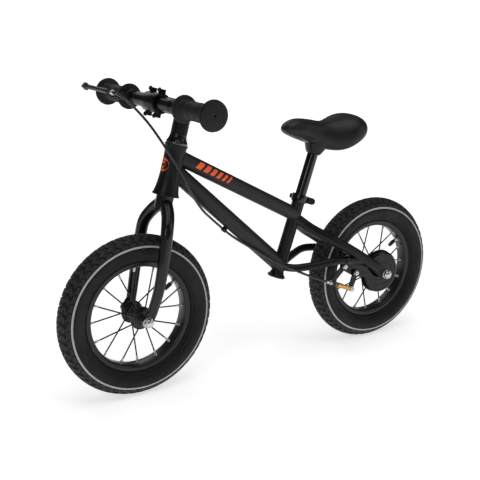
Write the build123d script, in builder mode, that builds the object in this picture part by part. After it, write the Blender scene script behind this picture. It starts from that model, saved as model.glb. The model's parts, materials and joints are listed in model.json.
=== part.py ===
"""Balance bike with 12 inch spoked wheels, a hand lever and a rear band brake.

Millimetres. +X points forward, +Y to the rider's left, +Z up.
The origin is on the ground, midway between the axles, on the centre plane.
"""

import os
from math import acos, cos, radians, sin, sqrt, tan

from build123d import *

# ---- Driving dimensions ----------------------------------------------------

# Overall
wheelbase = 560.0
head_angle = 75.0
fork_offset = 6.0

# Tyre, tube and rim
tyre_section = 52.0
tyre_wall = 3.5
bead_radius = 101.5
bead_spread = 25.0
bead_to_section = 1.5
rim_flange_height = 4.4
rim_wall = 1.5
rim_depth = 6.0
tube_wall = 1.2
tube_seam = 0.2
valve_angle = 146.25
valve_length = 24.0
valve_stem = 9.0
valve_radius = 3.0
valve_bore = 1.2
valve_cap_radius = 4.0

# Hubs and spokes
axle_radius = 4.8
spokes_per_side = 8
spoke_radius = 1.0
nipple_radius = 2.0
nipple_length = 12.0
spoke_gap = 0.7
flange_radius = 22.0
flange_thickness = 3.0
flange_spacing = 42.0
hub_barrel_radius = 13.0
hub_end_radius = 15.0
bearing_radius = 11.0
bearing_width = 6.0
cone_flank = 2.2
locknut_flank = 4.0
locknut_width = 3.5
front_dropout_spacing = 84.0
rear_dropout_spacing = 110.0
dropout_thickness = 5.0
axle_nut_radius = 8.5
axle_nut_height = 9.0
washer_flank = 1.5
washer_thickness = 1.5

# Fork
steerer_radius = 12.7
crown_radius = 16.5
crown_height = 24.0
leg_radius = 12.5
leg_tip_radius = 9.5
leg_wall = 1.6

# Head tube and headset, heights measured up the steering axis from the foot of the
# perpendicular through the front axle
head_bottom = 230.0
head_top = 325.0
head_lower_radius = 24.5
head_waist_radius = 18.8
head_upper_radius = 21.0
head_waist_share = 0.62
head_bore_radius = 15.0
head_lip = 2.0
lower_bearing_radius = 20.0
upper_bearing_radius = 18.0
headset_bearing_width = 7.0
ring_radius = 20.0
ring_height = 3.0
cover_height = 16.0

# Frame tubes
top_tube_radius = 14.3
down_tube_radius = 15.9
frame_wall = 1.6
seat_tube_wall = 1.7
seat_bore_gap = 0.1
top_tube_at_head = 305.0
down_tube_at_head = 280.0
seat_angle = 70.8
seat_tube_foot = (-35.0, 176.0)
seat_tube_length = 172.0
down_tube_at_seat = 24.5
top_tube_at_seat = 132.0
stub_radius = 18.5
stub_length = 14.0
seat_stay_radius = 10.5
chain_stay_radius = 8.0
dropout_radius = 14.0

# Saddle, seat post and clamp
post_radius = 11.1
post_wall = 1.8
post_length = 186.0
post_insertion = 74.0
collar_height = 16.0
collar_wall = 3.0
collar_azimuth = 222.0
clamp_gap = 3.0
ear_length = 16.0
ear_radius = 4.5
seat_bolt_radius = 2.6
saddle_length = 200.0
saddle_width = 118.0
saddle_height = 66.0
saddle_nose_width = 48.0
saddle_setback = 142.0
base_thickness = 5.0
base_inset = 7.0
neck_radius = 18.0
neck_overlap = 12.0
neck_reach = 12.0

# Stem, handlebar and grips
stem_radius = 15.5
stem_reach = 60.0
bar_height = 390.0
clamp_width = 48.0
clamp_wall = 5.5
clamp_split = 2.0
clamp_bolt_radius = 2.5
clamp_lug = 11.0
clamp_ear = 9.0
steerer_above_bar = 10.0
stem_cap_above = 6.0
bar_radius = 11.1
bar_centre_radius = 12.7
bar_centre_length = 132.0
bar_taper = 12.0
bar_length = 404.0
bar_wall = 1.8
grip_start = 104.0
grip_radius = 15.5
grip_inner_flange_radius = 23.7
grip_end_flange_radius = 26.0
grip_flange_width = 5.0
grip_end_wall = 4.0

# Brake lever
lever_clamp_at = -94.0
lever_clamp_width = 13.0
lever_clamp_wall = 3.5
lever_tilt = 15.0
lever_reach = 34.0
lever_pivot_at = -108.0
lever_pivot_radius = 2.5
clamp_screw_at = 20.0
clamp_screw_radius = 2.5
lever_root_radius = 7.0
lever_anchor = 11.0
lever_length = 90.0
lever_spread = 14.0
lever_thickness = 6.0
lug_thickness = 2.5
blade_root_width = 12.0
blade_tip_width = 9.0
barrel_radius = 3.6
barrel_length = 14.0
barrel_in_bracket = 6.0
locknut_radius = 5.0

# Band brake
drum_radius = 38.0
drum_wall = 2.0
drum_inner_face = 27.0
drum_width = 13.0
band_gap = 0.5
band_thickness = 2.0
cover_radius = 45.0
cover_wall = 2.0
cover_inner_face = 43.0
cover_lip = 12.0
plate_thickness = 3.0
stop_thickness = 1.6
brake_bolt_radius = 3.0
brake_bolt_head = 5.0
arm_pivot = (77.0, 13.0)
arm_pinch = (89.0, -19.0)
strap_point = (108.0, 32.0)
strap_width = 12.0
strap_at = 30.0
strap_wall = 1.5
stop_point = (140.0, 2.0)
cable_line = 55.0

# Brake cable
cable_radius = 2.4
wire_radius = 0.8
guide_at = 172.0
guide_standoff = 5.4
guide_length = 9.0
guide_wall = 1.8

# Fits and gaps
press_gap = 0.02
running_gap = 0.06
seam = 0.05
clear = 0.3

# ---- Derived places ----------------------------------------------------------

LEFT, RIGHT = 1, -1
tyre_radius = bead_radius + tyre_section + bead_to_section
section_radius = tyre_section / 2
section_centre = tyre_radius - section_radius
seat_tube_radius = post_radius + seat_bore_gap + seat_tube_wall
front_hub = Vector(wheelbase / 2, 0, tyre_radius)
rear_hub = Vector(-wheelbase / 2, 0, tyre_radius)
steer_up = Vector(-cos(radians(head_angle)), 0, sin(radians(head_angle)))
steer_forward = Vector(sin(radians(head_angle)), 0, cos(radians(head_angle)))
steer_foot = front_hub - steer_forward * fork_offset
steer_profile = Plane(origin=steer_foot, x_dir=steer_forward, z_dir=(0, -1, 0))
steer_axis = Axis(steer_foot, steer_up)
seat_up = Vector(-cos(radians(seat_angle)), 0, sin(radians(seat_angle)))
seat_foot = Vector(seat_tube_foot[0], 0, seat_tube_foot[1])
seat_forward = Vector(sin(radians(seat_angle)), 0, cos(radians(seat_angle)))
seat_profile = Plane(origin=seat_foot, x_dir=seat_forward, z_dir=(0, -1, 0))
seat_axis = Axis(seat_foot, seat_up)


def on_steerer(height, forward=0.0, side=0.0):
    """A point given up the steering axis, ahead of it and to its left."""
    return steer_foot + steer_up * height + steer_forward * forward + Vector(0, side, 0)


def on_seat_tube(height, forward=0.0, side=0.0):
    """A point given up the seat tube's axis, ahead of it and to its left."""
    return seat_foot + seat_up * height + seat_forward * forward + Vector(0, side, 0)


def across(point, side=0.0):
    """An upright plane along the bike at a side distance, x forward and y up."""
    return Plane(origin=(point.X, side, point.Z), x_dir=(1, 0, 0), z_dir=(0, -1, 0))


def wheel_profile(hub):
    """A plane through the axle line, x along the axle to the left, y up."""
    return Plane(origin=hub, x_dir=(0, 1, 0), z_dir=(1, 0, 0))


def finish(builder, name):
    """Label one finished piece and write it."""
    builder.part.label = name
    export_step(builder.part, f"parts/{name}.step")
    return builder.part


def straight_tube(start, end, radius, bore=0.0, cutters=()):
    """A round tube between two points, coped to each solid in cutters."""
    run = end - start
    with BuildPart() as tube:
        with BuildSketch(Plane(origin=start, z_dir=run)):
            Circle(radius)
            if bore:
                Circle(bore, mode=Mode.SUBTRACT)
        extrude(amount=run.length)
        for cutter in cutters:
            add(cutter, mode=Mode.SUBTRACT)
        keep_largest(tube)
    return tube


def rod(start, end, radius):
    """A plain round bar between two points, made to be added to a piece."""
    run = end - start
    return Solid.make_cylinder(radius, run.length, Plane(origin=start, z_dir=run))


def bent_tube(points, bends, radius, bore=0.0):
    """A round tube along straight runs joined by tangent arcs."""
    with BuildPart() as tube:
        with BuildLine() as path:
            FilletPolyline(*points, radius=bends)
        with BuildSketch(Plane(origin=path.line @ 0, z_dir=path.line % 0)):
            Circle(radius)
            if bore:
                Circle(bore, mode=Mode.SUBTRACT)
        sweep(path=path.line)
    return tube


def dome_middle(edge, radius, height):
    """A point halfway along a spherical cap's arc, from its rim to its top on the axis."""
    sphere = (radius**2 + height**2) / (2 * height)
    half_turn = acos((sphere - height) / sphere) / 2
    return edge + height - sphere * (1 - cos(half_turn)), sphere * sin(half_turn)


def corner_radii(points, share=0.45):
    """The largest arc that each corner's two runs leave room for."""
    radii = []
    for before, corner, after in zip(points, points[1:], points[2:]):
        turn = (corner - before).get_angle(after - corner)
        shorter = min((corner - before).length, (after - corner).length)
        radii.append(share * shorter / tan(radians(turn / 2)))
    return radii


# ---- Wheels ------------------------------------------------------------------


def make_tyre(hub, name):
    half = bead_spread / 2
    seat = bead_radius + running_gap
    inner = section_radius - tyre_wall
    outer_foot = section_centre - sqrt(section_radius**2 - half**2)
    inner_half = half - tyre_wall
    inner_foot = section_centre - sqrt(inner**2 - inner_half**2)
    with BuildPart() as tyre:
        with BuildSketch(wheel_profile(hub)):
            with BuildLine():
                ThreePointArc((-half, outer_foot), (0, tyre_radius), (half, outer_foot))
                Line((half, outer_foot), (half, seat))
                Line((half, seat), (inner_half, seat))
                Line((inner_half, seat), (inner_half, inner_foot))
                ThreePointArc(
                    (inner_half, inner_foot), (0, section_centre + inner), (-inner_half, inner_foot)
                )
                Line((-inner_half, inner_foot), (-inner_half, seat))
                Line((-inner_half, seat), (-half, seat))
                Line((-half, seat), (-half, outer_foot))
            make_face()
        revolve(axis=Axis(hub, (0, 1, 0)))
    return finish(tyre, name)


def make_inner_tube(hub, name):
    """The butyl tube, seamed where it faces the rim, with a Schrader valve and cap."""
    outer = section_radius - tyre_wall - clear
    direction = Vector(cos(radians(valve_angle)), 0, sin(radians(valve_angle)))
    root = hub + direction * (section_centre - outer + tube_wall)
    rim_inside = bead_radius - rim_depth
    collar = hub + direction * (rim_inside - clear)
    tip = hub + direction * (rim_inside - valve_length)
    with BuildPart() as tube:
        with BuildSketch(wheel_profile(hub)):
            with Locations((0, section_centre)):
                Circle(outer)
                Circle(outer - tube_wall, mode=Mode.SUBTRACT)
            with Locations((0, section_centre - outer)):
                Rectangle(tube_seam, 4 * tube_wall, mode=Mode.SUBTRACT)
        revolve(axis=Axis(hub, (0, 1, 0)))
        add(rod(root, tip, valve_radius))
        add(rod(collar - direction * valve_stem, tip, valve_cap_radius))
        add(rod(root + direction, tip - direction, valve_bore), mode=Mode.SUBTRACT)
    return finish(tube, name)


def make_rim(hub, name):
    """A box-section rim: two hooked flanges, the tyre bed and a closed inner wall."""
    half = bead_spread / 2 + running_gap
    outside = half + rim_wall
    crown = bead_radius + rim_flange_height
    bed = bead_radius - rim_wall
    inside = bead_radius - rim_depth
    direction = Vector(cos(radians(valve_angle)), 0, sin(radians(valve_angle)))
    with BuildPart() as rim:
        with BuildSketch(wheel_profile(hub)):
            with BuildLine():
                Polyline(
                    (half, crown),
                    (outside, crown),
                    (outside, bed - rim_wall),
                    (half - rim_wall, inside),
                    (rim_wall - half, inside),
                    (-outside, bed - rim_wall),
                    (-outside, crown),
                    (-half, crown),
                    (-half, bead_radius),
                    (half, bead_radius),
                    close=True,
                )
            make_face()
            with BuildLine():
                Polyline(
                    (half - rim_wall, bed),
                    (half - rim_wall, bed - rim_wall),
                    (half - 2 * rim_wall, inside + rim_wall),
                    (2 * rim_wall - half, inside + rim_wall),
                    (rim_wall - half, bed - rim_wall),
                    (rim_wall - half, bed),
                    close=True,
                )
            make_face(mode=Mode.SUBTRACT)
        revolve(axis=Axis(hub, (0, 1, 0)))
        add(
            rod(hub + direction * (inside - rim_depth), hub + direction * crown, valve_radius + clear),
            mode=Mode.SUBTRACT,
        )
    return finish(rim, name)


def make_spokes(hub, name):
    """Radial spokes, alternately from the left and right flange, each with its nipple."""
    count = 2 * spokes_per_side
    foot = flange_radius + spoke_gap
    head = bead_radius - rim_depth - spoke_gap
    flange_middle = (flange_spacing - flange_thickness) / 2
    with BuildPart() as spokes:
        for index in range(count):
            angle = radians(360 / count * index)
            side = LEFT if index % 2 else RIGHT
            out = Vector(cos(angle), 0, sin(angle))
            start = hub + out * foot + Vector(0, side * flange_middle, 0)
            end = hub + out * head + Vector(0, side * rim_wall, 0)
            run = (end - start).normalized()
            add(rod(start, end, spoke_radius))
            add(rod(end - run * nipple_length, end, nipple_radius))
    return finish(spokes, name)


def make_hub(hub, name):
    """A barrel with two spoke flanges and a bearing pocket in each end."""
    half = flange_spacing / 2
    pocket = half - bearing_width
    with BuildPart() as shell:
        with BuildSketch(wheel_profile(hub)):
            with BuildLine():
                Polyline(
                    (-half, hub_end_radius),
                    (-half, flange_radius),
                    (flange_thickness - half, flange_radius),
                    (flange_thickness - half, hub_barrel_radius),
                    (half - flange_thickness, hub_barrel_radius),
                    (half - flange_thickness, flange_radius),
                    (half, flange_radius),
                    (half, bearing_radius),
                    (pocket, bearing_radius),
                    (pocket, axle_radius + 1),
                    (-pocket, axle_radius + 1),
                    (-pocket, bearing_radius),
                    (-half, bearing_radius),
                    close=True,
                )
            make_face()
        revolve(axis=Axis(hub, (0, 1, 0)))
    return finish(shell, name)


def make_hub_bearings(hub, name):
    """The left and right bearing rings, which turn with the hub on the axle."""
    half = flange_spacing / 2
    with BuildPart() as bearings:
        for side in (LEFT, RIGHT):
            with BuildSketch(Plane.XZ.offset(-side * (half - seam))):
                with Locations((hub.X, hub.Z)):
                    Circle(bearing_radius - press_gap)
                    Circle(axle_radius + running_gap, mode=Mode.SUBTRACT)
            extrude(amount=side * (bearing_width - 2 * seam))
    return finish(bearings, name)


def make_axle(hub, spacing, left_face, name):
    """The threaded axle with a cone and locknut inside each dropout."""
    reach = spacing / 2 + dropout_thickness + axle_nut_height - 2
    inside = flange_spacing / 2 + clear
    along = Vector(0, 1, 0)
    with BuildPart() as axle:
        add(rod(hub - along * reach, hub + along * reach, axle_radius))
        for side, face in ((LEFT, left_face), (RIGHT, inside)):
            dropout = hub + along * side * (spacing / 2 - seam)
            add(rod(hub + along * side * (face + clear), dropout, axle_radius + cone_flank))
            add(rod(dropout - along * side * locknut_width, dropout, axle_radius + locknut_flank))
    return finish(axle, name)


def make_axle_nuts(hub, spacing, name):
    """A washer and a domed cap nut outside each dropout."""
    face = spacing / 2 + dropout_thickness + seam
    with BuildPart() as nuts:
        for side in (LEFT, RIGHT):
            profile = Plane(origin=hub, x_dir=(0, side, 0), z_dir=(side, 0, 0))
            bore = axle_radius + press_gap
            washer = axle_nut_radius + washer_flank
            washer_face = face + washer_thickness
            top = face + axle_nut_height
            roof = top - 1.5
            shoulder = face + axle_nut_height * 0.65
            with BuildSketch(profile):
                with BuildLine():
                    Line((face, bore), (face, washer))
                    Line((face, washer), (washer_face, washer))
                    Line((washer_face, washer), (washer_face, axle_nut_radius))
                    Line((washer_face, axle_nut_radius), (shoulder, axle_nut_radius))
                    ThreePointArc(
                        (shoulder, axle_nut_radius),
                        dome_middle(shoulder, axle_nut_radius, top - shoulder),
                        (top, 0),
                    )
                    Line((top, 0), (roof, 0))
                    Line((roof, 0), (roof, bore))
                    Line((roof, bore), (face, bore))
                make_face()
            revolve(axis=Axis(hub, (0, 1, 0)))
    return finish(nuts, name)


# ---- Head tube, headset and fork ----------------------------------------------


def make_head_tube():
    waist = head_bottom + (head_top - head_bottom) * head_waist_share
    with BuildPart() as head:
        with BuildSketch(steer_profile):
            with BuildLine():
                Line((head_bore_radius, head_bottom), (head_lower_radius + 1, head_bottom))
                Line((head_lower_radius + 1, head_bottom), (head_lower_radius + 1, head_bottom + head_lip))
                Line(
                    (head_lower_radius + 1, head_bottom + head_lip),
                    (head_lower_radius, head_bottom + head_lip),
                )
                Spline(
                    (head_lower_radius, head_bottom + head_lip),
                    (head_waist_radius, waist),
                    (head_upper_radius, head_top - head_lip),
                    tangents=((-0.3, 1), (0.22, 1)),
                )
                Line((head_upper_radius, head_top - head_lip), (head_upper_radius + 1, head_top - head_lip))
                Line((head_upper_radius + 1, head_top - head_lip), (head_upper_radius + 1, head_top))
                Line((head_upper_radius + 1, head_top), (head_bore_radius, head_top))
                Line((head_bore_radius, head_top), (head_bore_radius, head_bottom))
            make_face()
        revolve(axis=steer_axis)
        with BuildSketch(Plane(origin=on_steerer(head_bottom), z_dir=steer_up)):
            Circle(lower_bearing_radius)
        extrude(amount=headset_bearing_width + clear, mode=Mode.SUBTRACT)
        with BuildSketch(Plane(origin=on_steerer(head_top), z_dir=steer_up)):
            Circle(upper_bearing_radius)
        extrude(amount=-headset_bearing_width - clear, mode=Mode.SUBTRACT)
    return finish(head, "head_tube")


def make_headset_bearings():
    """Two sealed bearings pressed into the ends of the head tube."""
    with BuildPart() as bearings:
        for height, radius in (
            (head_bottom + clear, lower_bearing_radius),
            (head_top - headset_bearing_width, upper_bearing_radius),
        ):
            with BuildSketch(Plane(origin=on_steerer(height), z_dir=steer_up)):
                Circle(radius - press_gap)
                Circle(steerer_radius + running_gap, mode=Mode.SUBTRACT)
            extrude(amount=headset_bearing_width - clear)
    return finish(bearings, "headset_bearings")


def make_steering_rings():
    """The chrome compression ring and the flared cover that close the headset."""
    bore = steerer_radius + press_gap
    ring_base = head_top + clear
    cover_base = ring_base + ring_height + seam
    with BuildPart() as ring:
        with BuildSketch(Plane(origin=on_steerer(ring_base), z_dir=steer_up)):
            Circle(ring_radius)
            Circle(bore, mode=Mode.SUBTRACT)
        extrude(amount=ring_height)
    finish(ring, "compression_ring")
    with BuildPart() as cover:
        with BuildSketch(steer_profile):
            with BuildLine():
                Line((bore, cover_base), (ring_radius, cover_base))
                Line((ring_radius, cover_base), (ring_radius, cover_base + 1.5))
                ThreePointArc(
                    (ring_radius, cover_base + 1.5),
                    (stem_radius + 1.2, cover_base + cover_height * 0.5),
                    (stem_radius, cover_base + cover_height),
                )
                Line((stem_radius, cover_base + cover_height), (bore, cover_base + cover_height))
                Line((bore, cover_base + cover_height), (bore, cover_base))
            make_face()
        revolve(axis=steer_axis)
    finish(cover, "headset_cover")
    return cover_base + cover_height + seam


crown_top = head_bottom - clear
crown_foot = crown_top - crown_height
steerer_top = bar_height + steerer_above_bar
leg_side = (front_dropout_spacing + dropout_thickness) / 2


def leg_route(side):
    """The centre line of one fork leg, from the crown down to just above the axle."""
    stations = (
        (crown_foot + 10, 0, 8),
        (crown_foot - 8, 3, 31),
        (crown_foot - 34, 8, leg_side + 4),
        (100, 3, leg_side + 9),
        (60, 0, leg_side + 7),
        (18, 0, leg_side),
    )
    return [on_steerer(height, forward, side * out) for height, forward, out in stations]


def make_fork():
    """The crown with its steerer tube, and a leg on each side with a flattened end."""
    with BuildPart() as crown:
        add(rod(on_steerer(crown_foot), on_steerer(crown_top - 1), crown_radius))
        add(rod(on_steerer(crown_top - 1), on_steerer(crown_top), crown_radius - 2))
        add(rod(on_steerer(crown_top), on_steerer(steerer_top), steerer_radius))
        add(
            rod(on_steerer(crown_foot - 1), on_steerer(steerer_top + 1), steerer_radius - leg_wall),
            mode=Mode.SUBTRACT,
        )
    finish(crown, "fork_crown")
    keep_out = rod(on_steerer(crown_foot), on_steerer(crown_top), crown_radius + seam)
    for side, name in ((LEFT, "fork_leg_left"), (RIGHT, "fork_leg_right")):
        route = leg_route(side)
        tip = route[-1]
        tip_plane = Plane(origin=tip, z_dir=tip - route[-2])
        plate = side * front_dropout_spacing / 2
        with BuildPart() as leg:
            with BuildLine() as path:
                FilletPolyline(*route, radius=corner_radii(route))
            with BuildSketch(Plane(origin=path.line @ 0, z_dir=path.line % 0)) as root:
                Circle(leg_radius)
            with BuildSketch(tip_plane) as end:
                Circle(leg_tip_radius)
            sweep(sections=[root.sketch, end.sketch], path=path.line, multisection=True)
            with BuildSketch(Plane(origin=path.line @ 0, z_dir=path.line % 0)) as root_bore:
                Circle(leg_radius - leg_wall)
            with BuildSketch(tip_plane) as end_bore:
                Circle(leg_tip_radius - leg_wall)
            sweep(
                sections=[root_bore.sketch, end_bore.sketch],
                path=path.line,
                multisection=True,
                mode=Mode.SUBTRACT,
            )
            with BuildSketch(across(front_hub, plate)) as outline:
                Circle(leg_tip_radius + 1.5)
                with Locations((tip.X - front_hub.X, tip.Z - front_hub.Z)):
                    Circle(leg_tip_radius)
                make_hull()
            extrude(amount=-side * dropout_thickness)
            add(
                rod(front_hub, front_hub + Vector(0, side * 90, 0), axle_radius + seam),
                mode=Mode.SUBTRACT,
            )
            add(keep_out, mode=Mode.SUBTRACT)
            split(bisect_by=Plane(origin=(0, side * seam, 0), z_dir=(0, side, 0)), keep=Keep.TOP)
        finish(leg, name)


# ---- Stem, handlebar and grips --------------------------------------------------


bar_centre = on_steerer(bar_height, stem_reach)


def bar_profile(side=LEFT):
    """A plane through the handlebar's axis, x along it to one side, y up."""
    return Plane(origin=bar_centre, x_dir=(0, side, 0), z_dir=(side, 0, 0))


def make_stem(base):
    """The clamp sleeve on the steerer, its forward arm and the split bar clamp."""
    outer = bar_centre_radius + clamp_wall
    half = Vector(0, clamp_width / 2, 0)
    front_face = Plane(origin=bar_centre + steer_forward * clamp_split / 2, z_dir=steer_forward)
    back_face = Plane(origin=bar_centre - steer_forward * clamp_split / 2, z_dir=steer_forward)
    bar_bore = rod(bar_centre - half * 2, bar_centre + half * 2, bar_centre_radius + seam)
    barrel = rod(bar_centre - half, bar_centre + half, outer)
    bolt_out = outer + clamp_bolt_radius + 2.2
    lug_out = bolt_out * 0.86
    bolt_side = clamp_width / 2 - 7
    places = [(up, side) for up in (-1, 1) for side in (-bolt_side, bolt_side)]
    holes = []
    for up, side in places:
        foot = on_steerer(bar_height + up * bolt_out, stem_reach - 2 * clamp_ear, side)
        holes.append(rod(foot, foot + steer_forward * 3 * clamp_ear, clamp_bolt_radius + seam))
    with BuildPart() as stem:
        add(rod(on_steerer(base), on_steerer(steerer_top + stem_cap_above), stem_radius))
        add(rod(on_steerer(bar_height), bar_centre, stem_radius - 1))
        add(barrel)
        for up, side in places:
            middle = on_steerer(bar_height + up * lug_out, stem_reach - clamp_ear / 2, side)
            with BuildSketch(Plane(origin=middle, x_dir=(0, 1, 0), z_dir=steer_forward)):
                Rectangle(clamp_lug, clamp_lug)
            extrude(amount=clamp_ear / 2)
        split(bisect_by=back_face, keep=Keep.BOTTOM)
        add(bar_bore, mode=Mode.SUBTRACT)
        add(
            rod(on_steerer(base - 1), on_steerer(steerer_top), steerer_radius + press_gap),
            mode=Mode.SUBTRACT,
        )
        add(rod(on_steerer(base - 1), on_steerer(steerer_top + 10), 3.2), mode=Mode.SUBTRACT)
        add(holes, mode=Mode.SUBTRACT)
    finish(stem, "stem")
    with BuildPart() as cap:
        add(barrel)
        for up, side in places:
            middle = on_steerer(bar_height + up * lug_out, stem_reach, side)
            with BuildSketch(Plane(origin=middle, x_dir=(0, 1, 0), z_dir=steer_forward)):
                Rectangle(clamp_lug, clamp_lug)
            extrude(amount=clamp_ear / 2)
        split(bisect_by=front_face, keep=Keep.TOP)
        add(bar_bore, mode=Mode.SUBTRACT)
        add(holes, mode=Mode.SUBTRACT)
    finish(cap, "stem_clamp_cap")
    with BuildPart() as bolts:
        for up, side in places:
            head = on_steerer(bar_height + up * bolt_out, stem_reach + clamp_ear / 2 + seam, side)
            add(rod(head, head + steer_forward * 4, clamp_bolt_radius + 1.8))
            add(rod(head - steer_forward * clamp_ear, head, clamp_bolt_radius))
        top = steerer_top + stem_cap_above + seam
        add(rod(on_steerer(top), on_steerer(top + 4), stem_radius - 2))
        add(rod(on_steerer(steerer_top - 6), on_steerer(top), 3))
    finish(bolts, "stem_bolts")


def make_handlebar():
    half = bar_length / 2
    centre = bar_centre_length / 2
    with BuildPart() as bar:
        with BuildSketch(bar_profile()):
            with BuildLine():
                Polyline(
                    (-half, bar_radius),
                    (-centre - bar_taper, bar_radius),
                    (-centre, bar_centre_radius),
                    (centre, bar_centre_radius),
                    (centre + bar_taper, bar_radius),
                    (half, bar_radius),
                    (half, bar_radius - bar_wall),
                    (-half, bar_radius - bar_wall),
                    close=True,
                )
            make_face()
        revolve(axis=Axis(bar_centre, (0, 1, 0)))
    return finish(bar, "handlebar")


def make_grip(side, name):
    """A rubber grip with a guard flange at the hand's inner side and a closed, domed end."""
    end = bar_length / 2 + grip_end_wall
    bore = bar_radius + seam
    stop = bar_length / 2 + seam
    neck = grip_start + grip_flange_width
    shoulder = end - grip_flange_width
    with BuildPart() as grip:
        with BuildSketch(bar_profile(side)):
            with BuildLine():
                Polyline(
                    (stop, 0),
                    (stop, bore),
                    (grip_start, bore),
                    (grip_start, grip_inner_flange_radius),
                    (neck, grip_inner_flange_radius),
                    (neck, grip_radius),
                    (shoulder, grip_radius),
                    (shoulder, grip_end_flange_radius),
                    (end - 2, grip_end_flange_radius),
                )
                ThreePointArc(
                    (end - 2, grip_end_flange_radius),
                    dome_middle(end - 2, grip_end_flange_radius, 4),
                    (end + 2, 0),
                )
                Line((end + 2, 0), (stop, 0))
            make_face()
        revolve(axis=Axis(bar_centre, (0, 1, 0)))
    return finish(grip, name)


# ---- Frame ----------------------------------------------------------------------

top_tube_front = on_steerer(top_tube_at_head)
top_tube_rear = on_seat_tube(top_tube_at_seat)
down_tube_front = on_steerer(down_tube_at_head)
down_tube_rear = on_seat_tube(down_tube_at_seat)
down_run = (down_tube_rear - down_tube_front).normalized()
below_down_tube = Vector(down_run.Z, 0, -down_run.X) * -1
chain_stay_side = 57.0
chain_stay_bend = (-142.0, 206.0)
chain_stay_end = (-222.0, 196.0)
seat_stay_side = 60.0
stay_plate_face = rear_dropout_spacing / 2


def make_seat_tube():
    """The seat tube, which is open at the top and flares to a footrest socket below."""
    bore = post_radius + seat_bore_gap
    with BuildPart() as tube:
        with BuildSketch(seat_profile):
            with BuildLine():
                Line((bore, 0), (stub_radius, 0))
                Line((stub_radius, 0), (stub_radius, 2.5))
                ThreePointArc(
                    (stub_radius, 2.5),
                    (seat_tube_radius + 1.2, stub_length * 0.55),
                    (seat_tube_radius, stub_length),
                )
                Line((seat_tube_radius, stub_length), (seat_tube_radius, seat_tube_length))
                Line((seat_tube_radius, seat_tube_length), (bore, seat_tube_length))
                Line((bore, seat_tube_length), (bore, 0))
            make_face()
        revolve(axis=seat_axis)
    finish(tube, "seat_tube")
    with BuildPart() as cap:
        add(rod(on_seat_tube(-2), on_seat_tube(-seam), stub_radius - 2))
        add(rod(on_seat_tube(-1), on_seat_tube(10), bore - seam))
        add(rod(on_seat_tube(0), on_seat_tube(11), bore - 2), mode=Mode.SUBTRACT)
    finish(cap, "seat_tube_cap")
    return tube.part


def make_main_tubes(head, seat):
    """The top and down tubes, coped to the head tube and the seat tube."""
    head_core = head + rod(on_steerer(head_bottom), on_steerer(head_top), head_bore_radius)
    seat_core = seat + rod(seat_foot, on_seat_tube(seat_tube_length), post_radius + 2 * seat_bore_gap)
    top = straight_tube(
        top_tube_front, top_tube_rear, top_tube_radius, top_tube_radius - frame_wall, (head_core, seat_core)
    )
    finish(top, "top_tube")
    down = straight_tube(
        down_tube_front,
        down_tube_rear,
        down_tube_radius,
        down_tube_radius - frame_wall,
        (head_core, seat_core, top.part),
    )
    finish(down, "down_tube")
    return seat_core, top.part, down.part


def make_stays(seat_core, top, down):
    """A seat stay with a flattened axle end and a chain stay on each side."""
    for side, hand in ((LEFT, "left"), (RIGHT, "right")):
        seat_route = [
            on_seat_tube(top_tube_at_seat - 6, -2, side * 4),
            Vector(-102, side * 18, 273),
            Vector(-132, side * 40, 253),
            Vector(-176, side * 56, 227),
            Vector(-226, side * seat_stay_side, 193.5),
            Vector(-252, side * seat_stay_side, 175.5),
        ]
        chain_route = [
            on_seat_tube(down_tube_at_seat - 2, -4, side * 6),
            Vector(-66, side * 22, 193),
            Vector(-106, side * 44, 199),
            Vector(chain_stay_bend[0], side * chain_stay_side, chain_stay_bend[1]),
            Vector(chain_stay_end[0], side * chain_stay_side, chain_stay_end[1]),
        ]
        seat_tube_part = bent_tube(
            seat_route, corner_radii(seat_route), seat_stay_radius, seat_stay_radius - frame_wall
        ).part
        dropout = across(rear_hub, side * stay_plate_face)
        with BuildPart() as seat_stay:
            add(seat_tube_part)
            with BuildSketch(dropout):
                Circle(dropout_radius)
                with Locations((seat_route[-1].X - rear_hub.X, seat_route[-1].Z - rear_hub.Z)):
                    Circle(seat_stay_radius)
                make_hull()
            extrude(amount=-side * dropout_thickness)
            add(rod(rear_hub, rear_hub + Vector(0, side * 90, 0), axle_radius + seam), mode=Mode.SUBTRACT)
            add(seat_core, mode=Mode.SUBTRACT)
            add(top, mode=Mode.SUBTRACT)
            split(bisect_by=Plane(origin=(0, side * seam, 0), z_dir=(0, side, 0)), keep=Keep.TOP)
            keep_largest(seat_stay)
        finish(seat_stay, f"seat_stay_{hand}")
        chain_tube_part = bent_tube(
            chain_route, corner_radii(chain_route), chain_stay_radius, chain_stay_radius - frame_wall
        ).part
        with BuildPart() as chain_stay:
            add(chain_tube_part)
            add(seat_core, mode=Mode.SUBTRACT)
            add(down, mode=Mode.SUBTRACT)
            add(seat_stay.part, mode=Mode.SUBTRACT)
            split(bisect_by=Plane(origin=(0, side * seam, 0), z_dir=(0, side, 0)), keep=Keep.TOP)
            keep_largest(chain_stay)
        finish(chain_stay, f"chain_stay_{hand}")


def keep_largest(builder):
    """Drop the crumbs that a cope can leave beyond a joint."""
    pieces = builder.part.solids().sort_by(SortBy.VOLUME)
    if len(pieces) > 1:
        add(pieces[-1], mode=Mode.REPLACE)


# ---- Seat -----------------------------------------------------------------------

post_foot = seat_tube_length - post_insertion
post_head = post_foot + post_length
neck_foot = post_head - neck_overlap
collar_foot = seat_tube_length - collar_height + 2


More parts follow.
